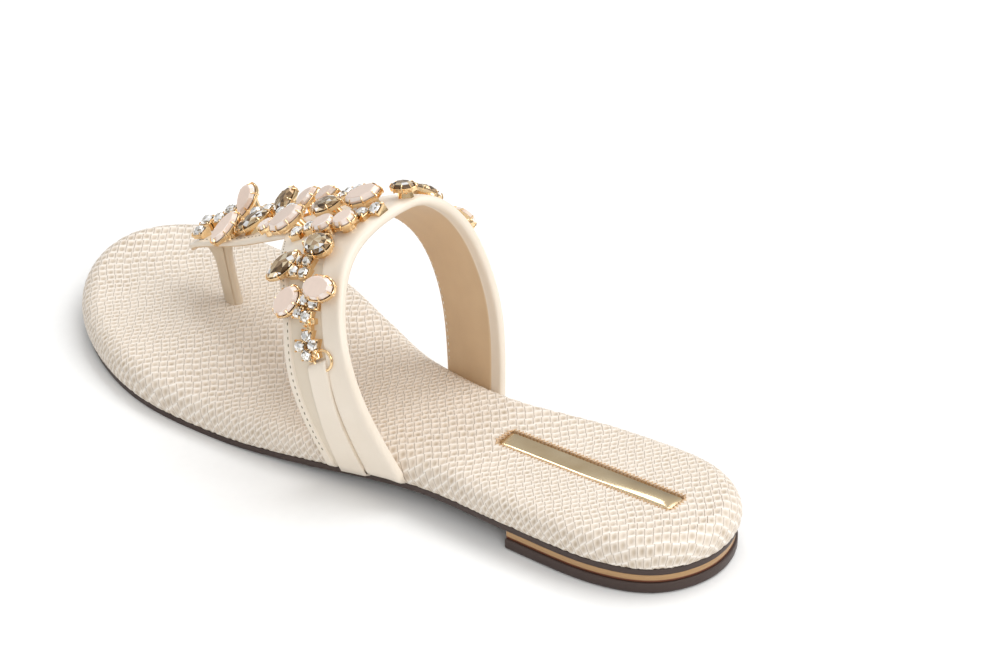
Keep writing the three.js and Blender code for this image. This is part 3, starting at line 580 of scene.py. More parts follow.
def makeFootbed():
    steps = np.arange(len(footbedEdge))
    share = np.linspace(0, len(footbedEdge) - 1, footbed["rimSteps"])
    inset = smoothCurve([(k, row[0]) for k, row in zip(steps, footbedEdge)])(share) * footbed["edgeRound"]
    rise = smoothCurve([(k, row[1]) for k, row in zip(steps, footbedEdge)])(share) * sole["footbedWall"]
    lean = unit(np.stack([np.gradient(rise), np.gradient(inset)], -1))
    lean[-1] = (0, 1)
    drop = np.concatenate([np.cumsum(np.hypot(np.diff(inset), np.diff(rise))[::-1])[::-1], [0]])
    rims = {}
    for side in ("outer", "inner"):
        line, outward = sideLine(side, footbed["stations"])
        spot = line[:, None] - outward[:, None] * inset[None, :, None]
        top = spot[:, -1:]
        flatPlace = top + outward[:, None] * drop[None, :, None]
        height = underside(spot[..., 1]) + rise
        upward = np.broadcast_to(lean[None, :, 1:], (*spot.shape[:2], 1))
        normal = np.concatenate([outward[:, None] * lean[None, :, :1], upward], -1)
        rims[side] = (np.concatenate([spot, height[..., None]], -1), flatPlace, normal)
    mix = np.linspace(0, 1, footbed["across"] + 1)[1:-1]
    outerTop, innerTop = rims["outer"][0][:, -1:], rims["inner"][0][:, -1:]
    middle = outerTop + (innerTop - outerTop) * mix[None, :, None]
    middle[..., 2] = footbedTop(middle[..., 1])
    up = np.broadcast_to([0.0, 0.0, 1.0], middle.shape)
    points = np.concatenate([rims["outer"][0], middle, rims["inner"][0][:, ::-1]], 1)
    flat = np.concatenate([rims["outer"][1], middle[..., :2], rims["inner"][1][:, ::-1]], 1)
    normals = np.concatenate([rims["outer"][2], up, rims["inner"][2][:, ::-1]], 1)
    away = outsidePlaque(points[..., 0], points[..., 1])
    fade = smoothStep(away, emboss["start"], emboss["end"])
    fromRim = np.arange(points.shape[1])
    fade = fade * smoothStep(np.minimum(fromRim, fromRim[::-1]), 0, 3)[None]
    dip = embossValues(flat[..., 0], flat[..., 1])["dip"]
    points = points - normals * (emboss["relief"] * np.clip(dip, 0, 1) * fade)[..., None]
    points[..., 2] -= (plaque["sunk"] + plaque["wall"]) * (1 - smoothStep(away, 0.05, 0.45))
    stations, width = points.shape[:2]
    index = np.arange(stations * width).reshape(stations, width)
    grid = np.stack([index[:-1, :-1], index[1:, :-1], index[1:, 1:], index[:-1, 1:]], -1).reshape(-1, 4)
    under = np.stack([index[:-1, 0], index[:-1, -1], index[1:, -1], index[1:, 0]], -1)
    faces = [*grid.tolist(), *under.tolist()]
    last = footbed["rimSteps"] - 1
    for row in (index[0].tolist(), index[-1].tolist()):
        faces += [[row[k], row[k + 1], row[width - 2 - k], row[width - 1 - k]] for k in range(last - 1)]
        faces.append(row[last - 1:width - last + 1])
    skin = (points, faces, 0)
    piece = makePiece("stamped_footbed", [skin], [stampedLeather], ["footbed"])
    mesh = piece.data
    corner = np.empty(len(mesh.loops), int)
    mesh.loops.foreach_get("vertex_index", corner)
    wrap = mesh.uv_layers.new(name="wrap")
    wrap.data.foreach_set("uv", (flat.reshape(-1, 2)[corner] / emboss["span"]).ravel())
    stamped = mesh.attributes.new("stamped", "FLOAT", "POINT")
    stamped.data.foreach_set("value", fade.ravel())
    # where the painted shadow round the plate's pocket falls, for the material
    paintedPlateShadow = mesh.attributes.new("paintedPlateShadow", "FLOAT", "POINT")
    paintedPlateShadow.data.foreach_set("value", (1 - smoothStep(away, 0.3, 0.95)).ravel())


def makeLayer(name, inset, floor, wall, count, reach, rounds, finish, node):
    # a flat layer of the sole, its lower and upper edges rounded; reach is its share of the length
    low, high = rounds
    arc = np.radians([0, 30, 60, 90])
    profile = [(inset + low * (1 - math.sin(a)), floor + low * (1 - math.cos(a))) for a in arc]
    profile += [(inset + high * (1 - math.cos(a)), floor + wall - high * (1 - math.sin(a))) for a in arc]
    lines = {side: sideLine(side, count, reach) for side in ("outer", "inner")}
    rings = []
    for inward, rise in profile:
        sides = []
        for side in ("outer", "inner"):
            line, outward = lines[side]
            spot = line - outward * inward
            if reach < 1:
                spot[:, 1] = np.maximum(spot[:, 1], alongY(reach) + inward - inset)
            sides.append(np.column_stack([spot, underside(spot[:, 1]) + rise]))
        rings.append(np.concatenate([sides[0], sides[1][::-1]]))
    makePiece(name, [(*loft(rings), 0)], [finish], [node], sharpAngle=50)


makeFootbed()
seam = sole["gap"]
outsoleFloor = -seam - sole["outsoleWall"]
bandFloor = outsoleFloor - seam - sole["heelBandWall"]
liftFloor = bandFloor - seam - sole["liftWall"]
heelReach = sole["heelLength"] / sole["length"]
makeLayer(
    "outsole_sheet", 1.2, outsoleFloor, sole["outsoleWall"] + seam * 0.6, 260, 1.0, (0.35, 0.25),
    darkRubber, "outsole",
)
makeLayer(
    "heel_board", 1.6, bandFloor - seam * 0.5, sole["heelBandWall"] + seam, 130, heelReach,
    (0.12, 0.12), heelBoard, "heel_band",
)
makeLayer(
    "heel_tread", 1.0, liftFloor, sole["liftWall"] + seam * 0.4, 130, heelReach, (1.0, 0.3),
    darkRubber, "heel_lift",
)
print("sole made")


def makePlaque():
    turn = math.radians(90 + plaque["turn"])
    centre = np.array([plaque["aside"], sole["length"] / 2 - plaque["fromHeel"]])
    axes = np.array([[math.cos(turn), math.sin(turn)], [-math.sin(turn), math.cos(turn)]])
    half, wide = plaque["length"] / 2, plaque["width"] / 2
    nearEnd = half - np.array([0, 0.12, 0.5])
    places = np.concatenate([-nearEnd, np.linspace(-half + 1.5, half - 1.5, 40), nearEnd[::-1]])
    across = np.linspace(-1, 1, 17)
    rings = []
    for place in places:
        fromEnd = half - abs(place)
        row = across * (wide - plaque["endNarrowing"] * (1 - smoothStep(fromEnd, 0, 0.6)))
        low = plaque["lowDome"]
        rise = low + (1 - low) * smoothStep(place, -0.1 * half, 0.8 * half)
        top = plaque["dome"] * rise * (1 - across**2) * smoothStep(fromEnd, -0.4, 3)
        top = top - plaque["rolledEdge"] * (1 - smoothStep(fromEnd, 0, 0.5))
        top[[0, -1]] -= 0.16
        spot = centre + np.outer(np.full_like(row, place), axes[0]) + np.outer(row, axes[1])
        base = footbedTop(spot[:, 1]) - plaque["sunk"]
        upper = np.column_stack([spot, base + top])
        lower = np.column_stack([spot[::-1], base[::-1] - plaque["wall"] + 0.05])
        rings.append(np.concatenate([upper, lower]))
    makePiece("nameplate", [(*loft(rings), 0)], [goldFoil], ["plaque"], sharpAngle=50)
    # zigzag thread over the edge of the leather round the plate
    corners = [(half, wide), (-half, wide), (-half, -wide), (half, -wide)]
    path, outside = [], False
    for (x0, y0), (x1, y1) in zip(corners, corners[1:] + corners[:1]):
        count = int(math.hypot(x1 - x0, y1 - y0) / plaque["stitchStep"])
        normal = np.array([np.sign(x0 + x1) * (x0 == x1), np.sign(y0 + y1) * (y0 == y1)])
        for k in range(count):
            outside = not outside
            spot = np.array([x0, y0]) + (np.array([x1, y1]) - (x0, y0)) * (k + 0.5) / count
            spot = spot + normal * plaque["stitchOut" if outside else "stitchIn"]
            world = centre + spot[0] * axes[0] + spot[1] * axes[1]
            path.append((*world, footbedTop(world[1]) + (0.02 if outside else -0.02)))
    thread = tube(path, plaque["thread"], 5, closed=True)
    makePiece("nameplate_stitching", [(*thread, 0)], [goldThread])


makePlaque()
print("plate made")

# Upper: the form it is pulled over, the band, the thong strap and the toe post

upper = {
    "height": 76.5, "sideRise": 4, "outerBulge": 8.5, "innerBulge": 5, "wall": 2.2, "panelWall": 1.5,
    "tuckDepth": 9, "seamAngle": 30, "flushFrom": 48, "flushTo": 68, "thongHalf": 5.2, "thongEdge": 12,
}
post = {
    "fromToe": 54, "aside": -7.4, "across": 2.2, "along": 3, "seat": 4, "seamTurn": 41, "lap": 0.13,
    "seamDip": 0.1, "edgeDip": 0.03,
}
ridgeHeight = smoothCurve([(at, share * upper["height"]) for at, share in (
    (0.36, 1.062), (0.46, 1), (0.54, 0.902), (0.64, 0.706), (0.74, 0.514), (0.836, 0.392), (0.852, 0.37),
)])
ridgeAside = smoothCurve([(0.45, -3), (0.78, post["aside"])])
# angle round the arch, front and back edge as shares of the length from the heel
bandRows = [
    (0, 0.462, 0.359), (22.5, 0.495, 0.404), (45, 0.526, 0.441), (67.5, 0.592, 0.471),
    (90, 0.655, 0.468), (112.5, 0.604, 0.452), (135, 0.552, 0.427), (157.5, 0.512, 0.401),
    (180, 0.487, 0.388),
]
bandFront = smoothCurve([(row[0], row[1]) for row in bandRows])
bandBack = smoothCurve([(row[0], row[2]) for row in bandRows])


def formPoint(y, angle):
    y, angle = np.broadcast_arrays(np.asarray(y, float), np.asarray(angle, float))
    a = np.radians(angle)
    outer = angle <= 90
    share = shareOf(y)
    ridge = ridgeAside(share)
    half = np.abs(np.where(outer, edgeX("outer", y), edgeX("inner", y)) - ridge) + sole["gap"]
    bulge = np.where(outer, upper["outerBulge"], upper["innerBulge"])
    low = underside(y) + upper["sideRise"]
    top = ridgeHeight(share) - upper["wall"]
    x = ridge + half * np.cos(a) + bulge * np.sin(2 * a)
    return np.stack([x, y, low + (top - low) * np.sin(a)], -1)


# place low on the leg, place from the seam up, lower and upper face as shares of the wall, panel
bandColumns = np.array([
    (0, 0, 0.25, 0.72, 0), (0.008, 0.008, 0.06, 0.93, 0), (0.028, 0.025, 0, 1, 0),
    (0.06, 0.06, 0, 1, 0), (0.1, 0.105, 0, 1, 0), (0.107, 0.116, 0, 1, 0),
    (0.112, 0.122, 0, 1, 1), (0.135, 0.145, 0, 1, 1), (0.22, 0.26, 0, 1, 1), (0.33, 0.4, 0, 1, 1),
    (0.43, 0.53, 0, 1, 1), (0.515, 0.64, 0, 1, 1), (0.532, 0.657, 0, 1, 1),
    (0.536, 0.661, 0, 1.04, 0), (0.55, 0.675, 0, 1.06, 0), (0.65, 0.74, 0, 1.05, 0),
    (0.76, 0.8, 0, 1.05, 0), (0.818, 0.835, 0, 1.09, 0), (0.825, 0.842, -0.14, 1.1, 0),
    (0.84, 0.855, -0.16, 1.12, 0), (0.847, 0.862, -0.04, 1.13, 0), (0.9, 0.905, -0.12, 1.2, 0),
    (0.94, 0.94, -0.22, 1.24, 0), (0.97, 0.966, -0.22, 1.2, 0), (0.99, 0.986, -0.1, 1.02, 0),
    (1, 1, 0.2, 0.76, 0),
])
# end of the band under the footbed's edge: place inwards, height and wall as shares
tuckRows = [
    (-1, 0.36, 0.55), (-0.5, 0.36, 0.55), (-0.17, 0.37, 0.55), (-0.05, 0.46, 0.65), (0, 0.7, 0.85),
]


def fromSole(angle):
    return np.minimum(angle, 180 - angle)


def columnPlaces(angle):
    t = np.minimum(fromSole(angle) / upper["seamAngle"], 1)[..., None]
    return bandColumns[:, 0] * (1 - t) + bandColumns[:, 1] * t


def columnWalls(angle):
    flush = smoothStep(fromSole(angle), upper["flushFrom"], upper["flushTo"])[..., None]
    inPanel = upper["panelWall"] + (upper["wall"] - upper["panelWall"]) * flush
    return np.where(bandColumns[:, 4] == 1, inPanel, upper["wall"])


def bandY(angle, place):
    front, back = bandFront(angle), bandBack(angle)
    return alongY(front[..., None] + (back - front)[..., None] * place)


def strapFace(y, angle):
    # height of the straps' outer face above the form
    angle = np.asarray(float(angle))
    place = (shareOf(y) - bandFront(angle)) / (bandBack(angle) - bandFront(angle))
    if place < 0:
        return upper["wall"]
    return float(np.interp(place, columnPlaces(angle), bandColumns[:, 3] * columnWalls(angle)))


def surfaceNormals(grid):
    along = np.gradient(grid, axis=0)
    across = np.gradient(grid, axis=1)
    return unit(np.cross(across, along))


# share of the length from the heel, half width as a share of the strap's own
thongRows = [
    (0.6, 2.1), (0.628, 1.86), (0.645, 1.7), (0.668, 1.52), (0.7, 1.2), (0.735, 1.05), (0.78, 1),
    (0.815, 0.96), (0.834, 0.8), (0.845, 0.5), (0.85, 0.16),
]
thongHalf = smoothCurve([(at, half * upper["thongHalf"]) for at, half in thongRows])
thongDroop = smoothCurve([(0.6, 0), (0.78, 0), (0.815, 0.2), (0.834, 1), (0.845, 2.6), (0.852, 3.4)])


def thongPoint(share, spread):
    # spread runs from -1 at the strap's outer edge to 1 at its inner edge
    y = alongY(share)
    reach = thongHalf(share) * spread
    side = np.where(reach > 0, edgeX("inner", y), edgeX("outer", y))
    half = np.abs(side - ridgeAside(share)) + sole["gap"]
    point = formPoint(y, 90 + np.degrees(np.arcsin(reach / half)))
    point[..., 2] -= thongDroop(share)
    return point


def makeUpper():
    angles = np.array(sorted({*range(0, 181, 2), 79, 101}), float)
    places = columnPlaces(angles)
    arch = formPoint(bandY(angles, places), np.broadcast_to(angles[:, None], places.shape))
    walls = columnWalls(angles)
    pads = np.sin(np.radians(angles))
    grids, allWalls, allPads = [arch], [walls], [pads]
    for side, angle, sign in (("outer", 0.0, 1), ("inner", 180.0, -1)):
        y = bandY(np.array([angle]), columnPlaces(np.array([angle])))[0]
        rows = []
        for out, rise, _ in tuckRows:
            x = edgeX(side, y) + sign * (sole["gap"] + out * upper["tuckDepth"])
            rows.append(np.stack([x, y, underside(y) + rise * upper["sideRise"]], -1))
        wall = np.array([[row[2]] for row in tuckRows]) * columnWalls(np.array([angle]))
        end = 0 if sign > 0 else len(grids)
        order = 1 if sign > 0 else -1
        grids.insert(end, np.array(rows[::order]))
        allWalls.insert(end, wall[::order])
        allPads.insert(end, np.zeros(len(tuckRows)))
    grid, wall, pad = np.concatenate(grids), np.concatenate(allWalls), np.concatenate(allPads)
    normal = surfaceNormals(grid)
    tucked = len(tuckRows)
    inThong = np.flatnonzero(np.abs(angles - 90) <= upper["thongEdge"]) + tucked
    over = np.broadcast_to(bandColumns[:, 3], wall.shape).copy()
    under = np.broadcast_to(bandColumns[:, 2], wall.shape).copy()
    over[inThong[1:-1], :3], under[inThong[1:-1], :3] = 1, 0
    over[inThong[[1, -2]], 0] = 0.96
    under = np.where(under < 0, under * pad[:, None], under)
    overPoints = grid + normal * (over * wall)[..., None]
    underPoints = grid + normal * (under * wall)[..., None]
    stations, columns = wall.shape
    overIndex = np.arange(stations * columns).reshape(stations, columns)
    underIndex = overIndex + stations * columns
    faces, looks = [], []

    def addQuads(a, b, c, d, look):
        faces.append(np.stack([a, b, c, d], -1).reshape(-1, 4))
        looks.append(np.broadcast_to(look, a.shape).ravel())

    fullAngles = np.concatenate([np.zeros(tucked), angles, np.full(tucked, 180.0)])
    inPanel = (bandColumns[:-1, 4] == 1) & (bandColumns[1:, 4] == 1)
    onLeg = fromSole(fullAngles[:-1]) < upper["flushTo"] - 8
    # the sunk panel on the legs takes the leather darkened as painted shade
    shadedPanelLook = np.where(inPanel[None] & onLeg[:, None], 1, 0)
    addQuads(overIndex[:-1, :-1], overIndex[:-1, 1:], overIndex[1:, 1:], overIndex[1:, :-1], shadedPanelLook)
    lined = np.where(bandColumns[1:, 1] <= 0.84, 2, np.where(bandColumns[1:, 1] <= 0.86, 3, 0))
    lined = np.broadcast_to(lined, (stations - 1, columns - 1))
    addQuads(underIndex[:-1, :-1], underIndex[1:, :-1], underIndex[1:, 1:], underIndex[:-1, 1:], lined)
    addQuads(overIndex[:-1, -1], underIndex[:-1, -1], underIndex[1:, -1], overIndex[1:, -1], 0)
    for row in (0, -1):
        addQuads(overIndex[row, :-1], underIndex[row, :-1], underIndex[row, 1:], overIndex[row, 1:], 0)
    edge = np.array([i for i in range(stations - 1) if not inThong[0] <= i < inThong[-1]])
    addQuads(overIndex[edge, 0], underIndex[edge, 0], underIndex[edge + 1, 0], overIndex[edge + 1, 0], 0)

    # thong strap, grown from the band's front edge
    start = bandFront(fullAngles[inThong])
    spread = (fullAngles[inThong] - 90) / upper["thongEdge"]
    steps = np.array([
        0, 0.03, 0.07, 0.12, 0.19, 0.27, 0.36, 0.46, 0.56, 0.66, 0.75, 0.83, 0.9, 0.945, 0.975, 0.99, 1,
    ])
    share = start[None] + (thongRows[-1][0] - start[None]) * steps[:, None]
    strip = thongPoint(share, np.broadcast_to(spread, share.shape))
    strip[0] = grid[inThong, 0]
    strip[1] = strip[1] * 0.7 + (strip[0] + (strip[2] - strip[0]) * 0.45) * 0.3
    stripNormal = surfaceNormals(strip)
    stripNormal = -stripNormal if stripNormal[8, 6, 2] < 0 else stripNormal
    edgeOver = np.interp(1 - np.abs(spread), [0, 0.09, 0.2], [0.72, 0.96, 1.0])
    edgeUnder = np.interp(1 - np.abs(spread), [0, 0.09, 0.2], [0.25, 0.04, 0.0])
    tipOver = np.interp(steps, [0, 0.97, 0.99, 1], [1, 1, 0.9, 0.66])
    tipUnder = np.interp(steps, [0, 0.97, 0.99, 1], [0, 0, 0.1, 0.34])
    high = upper["wall"] * np.minimum(edgeOver[None], tipOver[:, None])
    low = upper["wall"] * np.maximum(edgeUnder[None], tipUnder[:, None])
    stripOver = strip + stripNormal * high[..., None]
    stripUnder = strip + stripNormal * low[..., None]
    base = 2 * stations * columns
    count = len(inThong)
    stripOverIndex = base + np.arange((len(steps) - 1) * count).reshape(-1, count)
    stripUnderIndex = stripOverIndex + (len(steps) - 1) * count
    stripOverIndex = np.concatenate([overIndex[inThong, 0][None], stripOverIndex])
    stripUnderIndex = np.concatenate([underIndex[inThong, 0][None], stripUnderIndex])
    top, bottom = stripOverIndex, stripUnderIndex
    addQuads(top[:-1, :-1], top[1:, :-1], top[1:, 1:], top[:-1, 1:], 0)
    addQuads(bottom[:-1, :-1], bottom[:-1, 1:], bottom[1:, 1:], bottom[1:, :-1], 2)
    for column in (0, -1):
        addQuads(top[:-1, column], bottom[:-1, column], bottom[1:, column], top[1:, column], 0)
    addQuads(top[-1, :-1], bottom[-1, :-1], bottom[-1, 1:], top[-1, 1:], 0)
    points = np.concatenate([
        overPoints.reshape(-1, 3), underPoints.reshape(-1, 3),
        stripOver[1:].reshape(-1, 3), stripUnder[1:].reshape(-1, 3),
    ])
    finishes = [leather[name] for name in ("satinCalf", "shadedPanelCalf", "liningCalf", "turnedEdge")]
    skin = (points, np.concatenate(faces), np.concatenate(looks).astype(int))
    piece = makePiece("instep_and_thong", [skin], finishes, ["upper"])
    smoothing = piece.modifiers.new("smooth", "SUBSURF")
    smoothing.levels = smoothing.render_levels = 1
    return piece


def makePost():
    # leather rolled round a cord, its lap seam towards the heel and the outer side
    lean = smoothCurve([(0, 0), (0.35, -2.5), (0.7, -4.6), (0.88, -6), (1, -7)])
    across = smoothCurve([(0, 1), (0.35, 1), (0.7, 1.02), (0.88, 1.2), (1, 1.5)])
    along = smoothCurve([(0, 1), (0.35, 0.98), (0.7, 1.02), (0.88, 1.4), (1, 1.9)])
    share = np.concatenate([[0.002, 0.012], np.linspace(0.04, 0.97, 26), [0.99, 0.999]])
    turns = math.radians(post["seamTurn"]) + 2 * np.pi * share
    swell = 1 + post["lap"] * share - post["seamDip"] * np.exp(-share / 0.02)
    swell = swell - post["edgeDip"] * np.exp(-(1 - share) / 0.015)
    centreY = post["fromToe"] - sole["length"] / 2
    seat = footbedTop(centreY) - post["seat"]
    rings = []
    for rise in np.linspace(0, 1, 24):
        x = post["aside"] + post["across"] * across(rise) * swell * np.cos(turns)
        y = centreY + lean(rise) + post["along"] * along(rise) * swell * np.sin(turns)
        top = ridgeHeight(shareOf(y)) - thongDroop(shareOf(y)) - 0.6 * upper["wall"]
        rings.append(np.stack([x, y, seat + (top - seat) * rise], -1))
    # the post's leather is darkened as painted shade
    finishes = [leather["shadedPostCalf"]]
    makePiece("toe_post", [(*loft(rings), 0)], finishes, sharpAngle=60)


upperPiece = makeUpper()
makePost()
bpy.context.view_layer.update()
shown = upperPiece.evaluated_get(bpy.context.evaluated_depsgraph_get()).data
upperSurface = BVHTree.FromPolygons(
    [vertex.co * 1000 for vertex in shown.vertices], [face.vertices[:] for face in shown.polygons],
)
print("upper made")


def onSurface(point):
    place, normal, _, _ = upperSurface.find_nearest(Vector(point))
    return np.array(place), np.array(normal)


edgeStitch = {"pitch": 2.1, "length": 1.05, "radius": 0.14, "sunk": 0.03}
liningStitch = {"pitch": 2.1, "length": 1.2, "radius": 0.17, "sunk": 0.02}
stitchPlace = {"fromBandEdge": 1.5, "fromStrapEdge": 1.3}


def stitchParts(path, stitch):
    # short threads along the path, each let into the leather at its ends
    run = np.concatenate([[0], np.cumsum(np.linalg.norm(np.diff(path, axis=0), axis=1))])
    lift = np.array([-0.1, 0.06, 0.1, 0.06, -0.1]) - stitch["sunk"]
    radii = stitch["radius"] * np.array([0.6, 1, 1.05, 1, 0.6])
    parts = []
    for middle in np.arange(stitch["pitch"] / 2, run[-1], stitch["pitch"]):
        places = middle + np.linspace(-stitch["length"] / 2, stitch["length"] / 2, 5)
        spots = np.stack([np.interp(places, run, path[:, k]) for k in range(3)], -1)
        snapped = [onSurface(spot) for spot in spots]
        spots = np.array([spot + normal * h for (spot, normal), h in zip(snapped, lift)])
        parts.append((*tube(spots, radii, 6), 0))
    return parts


def bandSeam(angles):
    width = (bandFront(angles) - bandBack(angles)) * sole["length"]
    y = bandY(angles, (stitchPlace["fromBandEdge"] / width)[:, None])[:, 0]
    return formPoint(y, angles)


def makeStitching():
    parts = []
    for angles in (np.linspace(3, 74, 120), np.linspace(106, 177, 120)):
        path = bandSeam(angles)
        outward = unit(path - path.mean(0) * (0, 1, 0) - (0, 0, 20))
        parts += stitchParts(path + outward * 3, edgeStitch)
    for sign in (-1, 1):
        share = np.linspace(0.66, 0.83, 60)
        path = thongPoint(share, sign * (1 - stitchPlace["fromStrapEdge"] / thongHalf(share)))
        parts += stitchParts(path + (0, 0, 3), edgeStitch)
    makePiece("edge_stitching", parts, [oliveThread])
    parts = []
    for angles in (np.linspace(106, 176, 120), np.linspace(4, 74, 120)):
        path = bandSeam(angles)
        inward = unit(np.array([0, 0, 12.0]) + path * (0, 1, 0) - path)
        parts += stitchParts(path + inward * 0.8, liningStitch)
    makePiece("lining_stitching", parts, [whiteThread])


makeStitching()
print("stitching made")

# Tabs that hold the rings: angle from the sole, front and back edge as shares of the band, and
# height as a share of the folded end's
tab = {"wall": 1.15, "fold": 1.95, "lift": -0.05, "skew": 2.2, "skewFrom": 14, "skewTo": 25}
tabRows = [
    (29.4, 0.388, 0.64, 0.5), (28.8, 0.384, 0.638, 0.92), (27.4, 0.374, 0.63, 1),
    (26, 0.365, 0.625, 0.97), (25, 0.358, 0.618, 0.9), (20, 0.322, 0.59, 0.73),
    (16, 0.29, 0.57, 0.63), (12, 0.26, 0.555, 0.59), (8, 0.23, 0.54, 0.59),
    (4, 0.205, 0.522, 0.59), (0, 0.18, 0.505, 0.59),
]
ring = {"radius": 3.0, "wire": 0.4, "angle": 31.1, "at": 0.451, "lift": 1.15}


def makeTab(side):
    inner = side == "inner"
    places = np.array([0, 0.015, 0.06, 0.12, 0.3, 0.5, 0.7, 0.88, 0.94, 0.985, 1])
    rows = []
    for angle, front, back, _ in tabRows:
        spread = angle + tab["skew"] * places * smoothStep(angle, tab["skewFrom"], tab["skewTo"])
        y = bandY(np.array(float(180 - angle if inner else angle)), front + (back - front) * places)
        rows.append(formPoint(y, 180 - spread if inner else spread))
    y = rows[-1][:, 1]
    sign = -1 if inner else 1
    for out, rise, _ in tuckRows[:0:-1]:
        x = edgeX(side, y) + sign * (sole["gap"] + out * upper["tuckDepth"])
        rows.append(np.stack([x, y, underside(y) + rise * upper["sideRise"]], -1))
    grid = np.array(rows)
    normal = surfaceNormals(grid)
    if normal[4, 5] @ (grid[4, 5] - np.array([0, grid[4, 5, 1], 10])) < 0:
        normal = -normal
    folded = tab["fold"] * np.array([row[3] for row in tabRows])
    heights = np.concatenate([folded, np.full(len(grid) - len(tabRows), 0.5 * tab["wall"])])
    rounded = np.array([0.55, 0.9, 1, 1, 1, 1, 1, 1, 1, 0.9, 0.55])
    floor = upper["panelWall"] + tab["lift"]
    over = grid + normal * (floor + heights[:, None] * rounded)[..., None]
    under = grid + normal * floor
    skin = (*loft(np.concatenate([over, under[:, ::-1]], 1)), 0)
    finishes = [leather["satinCalf"]]
    makePiece(f"ring_tab_{side}", [skin], finishes, [f"tab_{side}"], sharpAngle=55)


def rotation(axis, degrees):
    return np.array(Matrix.Rotation(math.radians(degrees), 3, axis))


def seatOn(y, angle, lift, turn=0, roll=0):
    # axes (along the foot, round the arch, outward) and origin of a place on the strap's face
    along = unit(formPoint(y + 0.5, angle) - formPoint(y - 0.5, angle))
    around = unit(formPoint(y, angle + 0.5) - formPoint(y, angle - 0.5))
    out = -unit(np.cross(around, along))
    axes = np.column_stack([along, np.cross(out, along), out])
    axes = axes @ rotation("X", roll) @ rotation("Z", turn)
    return axes, formPoint(y, angle) + out * (strapFace(y, angle) + lift)


def makeRing(side):
    angle = 180 - ring["angle"] if side == "inner" else ring["angle"]
    axes, origin = seatOn(alongY(ring["at"]), angle, ring["lift"])
    turns = np.linspace(0, 2 * np.pi, 48, endpoint=False)
    circle = np.stack([np.cos(turns), np.sin(turns), 0 * turns], -1) * ring["radius"]
    wire = tube(circle @ axes.T + origin, ring["wire"], 10, closed=True)
    makePiece(f"gold_ring_{side}", [(*wire, 0)], [gold], [f"ring_{side}"])


for side in ("outer", "inner"):
    makeTab(side)
    makeRing(side)
print("tabs and rings made")

# Jewels: sizes in mm, and shares of a stone's width
jewel = {
    "cupHeight": 1.6, "cupWall": 0.45, "stoneBase": 1, "stoneRise": 0.28, "gap": 0.3, "stem": 0.62,
    "bezel": 1.25, "claw": 0.25, "longestLink": 2.2, "linkHalf": 0.65, "ridgeCrystal": 4,
    "legCrystal": 3.45, "chainCup": 1.8, "box": 1.02, "crystalHeight": 2.6, "crystalRoll": 24,
}
# name, cut, length, width, share of the foot's length from the heel, angle round the arch, height
# over the strap, roll, turn
ridgeStones = [
    ("long_oval", "oval", 12, 6.2, 0.769, 87, 1.2, 30, 78),
    ("raised_drop", "drop", 10.6, 7.6, 0.785, 103, 6, 60, -100),
    ("front_marquise", "marquise", 11.8, 5.8, 0.737, 90.5, 1, 20, 40),
    ("raised_oval", "oval", 9.8, 6.6, 0.714, 103.5, 4.2, 48, 58),
    ("small_oval", "oval", 6, 4.8, 0.671, 82.5, 0.5, 12, 10),
    ("centre_oval", "oval", 12.8, 8.8, 0.63, 82, 0.6, 20, 22),
    ("front_drop", "drop", 8.4, 7, 0.666, 102, 3.2, 42, 40),
    ("back_drop", "drop", 8.8, 7, 0.628, 101, 2.4, 40, 14),
    ("centre_marquise", "marquise", 13.6, 6.2, 0.571, 83.6, 0.8, 16, 1),
    ("front_round", "oval", 7.2, 6.8, 0.53, 72, 0.3, 0, 0),
    ("back_round", "oval", 7, 6.8, 0.503, 73.2, 0.3, 0, 0),
    ("octagon", "octagon", 12.2, 8.2, 0.521, 85.6, 0.3, 12, 11),
    ("baguette", "octagon", 8.8, 4.6, 0.482, 91.6, 0.4, 4, 2),
]
legStones = [
    ("leg_oval", "oval", 11, 7.6, 0.511, 64, 0.3, 0, -14),
    ("leg_marquise", "marquise", 11.5, 6.6, 0.544, 57.6, 0.3, 0, 46),
    ("leg_back_oval", "oval", 10.8, 7.2, 0.474, 50.8, 0.3, 0, -2),
    ("leg_front_oval", "oval", 9.8, 7, 0.513, 46.6, 0.3, 0, 51),
]
smokyNames = ("front_marquise", "raised_oval", "centre_marquise", "baguette", "leg_oval", "leg_marquise")
# share of the length, angle round the arch, height over the strap; those on the legs, legLift
legLift = 0.3
ridgeCrystals = [
    (0.824, 87.4, 0.6), (0.836, 94.5, 1.6), (0.82, 96, 1.8), (0.811, 99.7, 3.4), (0.751, 96, 3.6),
    (0.741, 99, 3.6), (0.702, 95.5, 2.2), (0.684, 95.8, 2.4), (0.597, 100, 2), (0.579, 100.5, 2),
    (0.579, 72.8, 0.3), (0.563, 74, 0.3), (0.497, 78, 0.3), (0.484, 80.5, 0.3),
]
legCrystals = [
    (0.532, 59.9), (0.5163, 59.3), (0.5287, 56.3), (0.513, 55.7), (0.4949, 47.6), (0.4798, 46.7),
    (0.4971, 43.9), (0.4841, 42.9), (0.476, 37.5), (0.482, 34.4), (0.4655, 35.2), (0.471, 32.1),
]
# share of the length and angle of the small closed cups in the chain that hangs from the jewels
chainCups = [(0.481, 41.2), (0.4745, 41.6), (0.477, 39.7), (0.463, 32.7), (0.459, 32.2)]
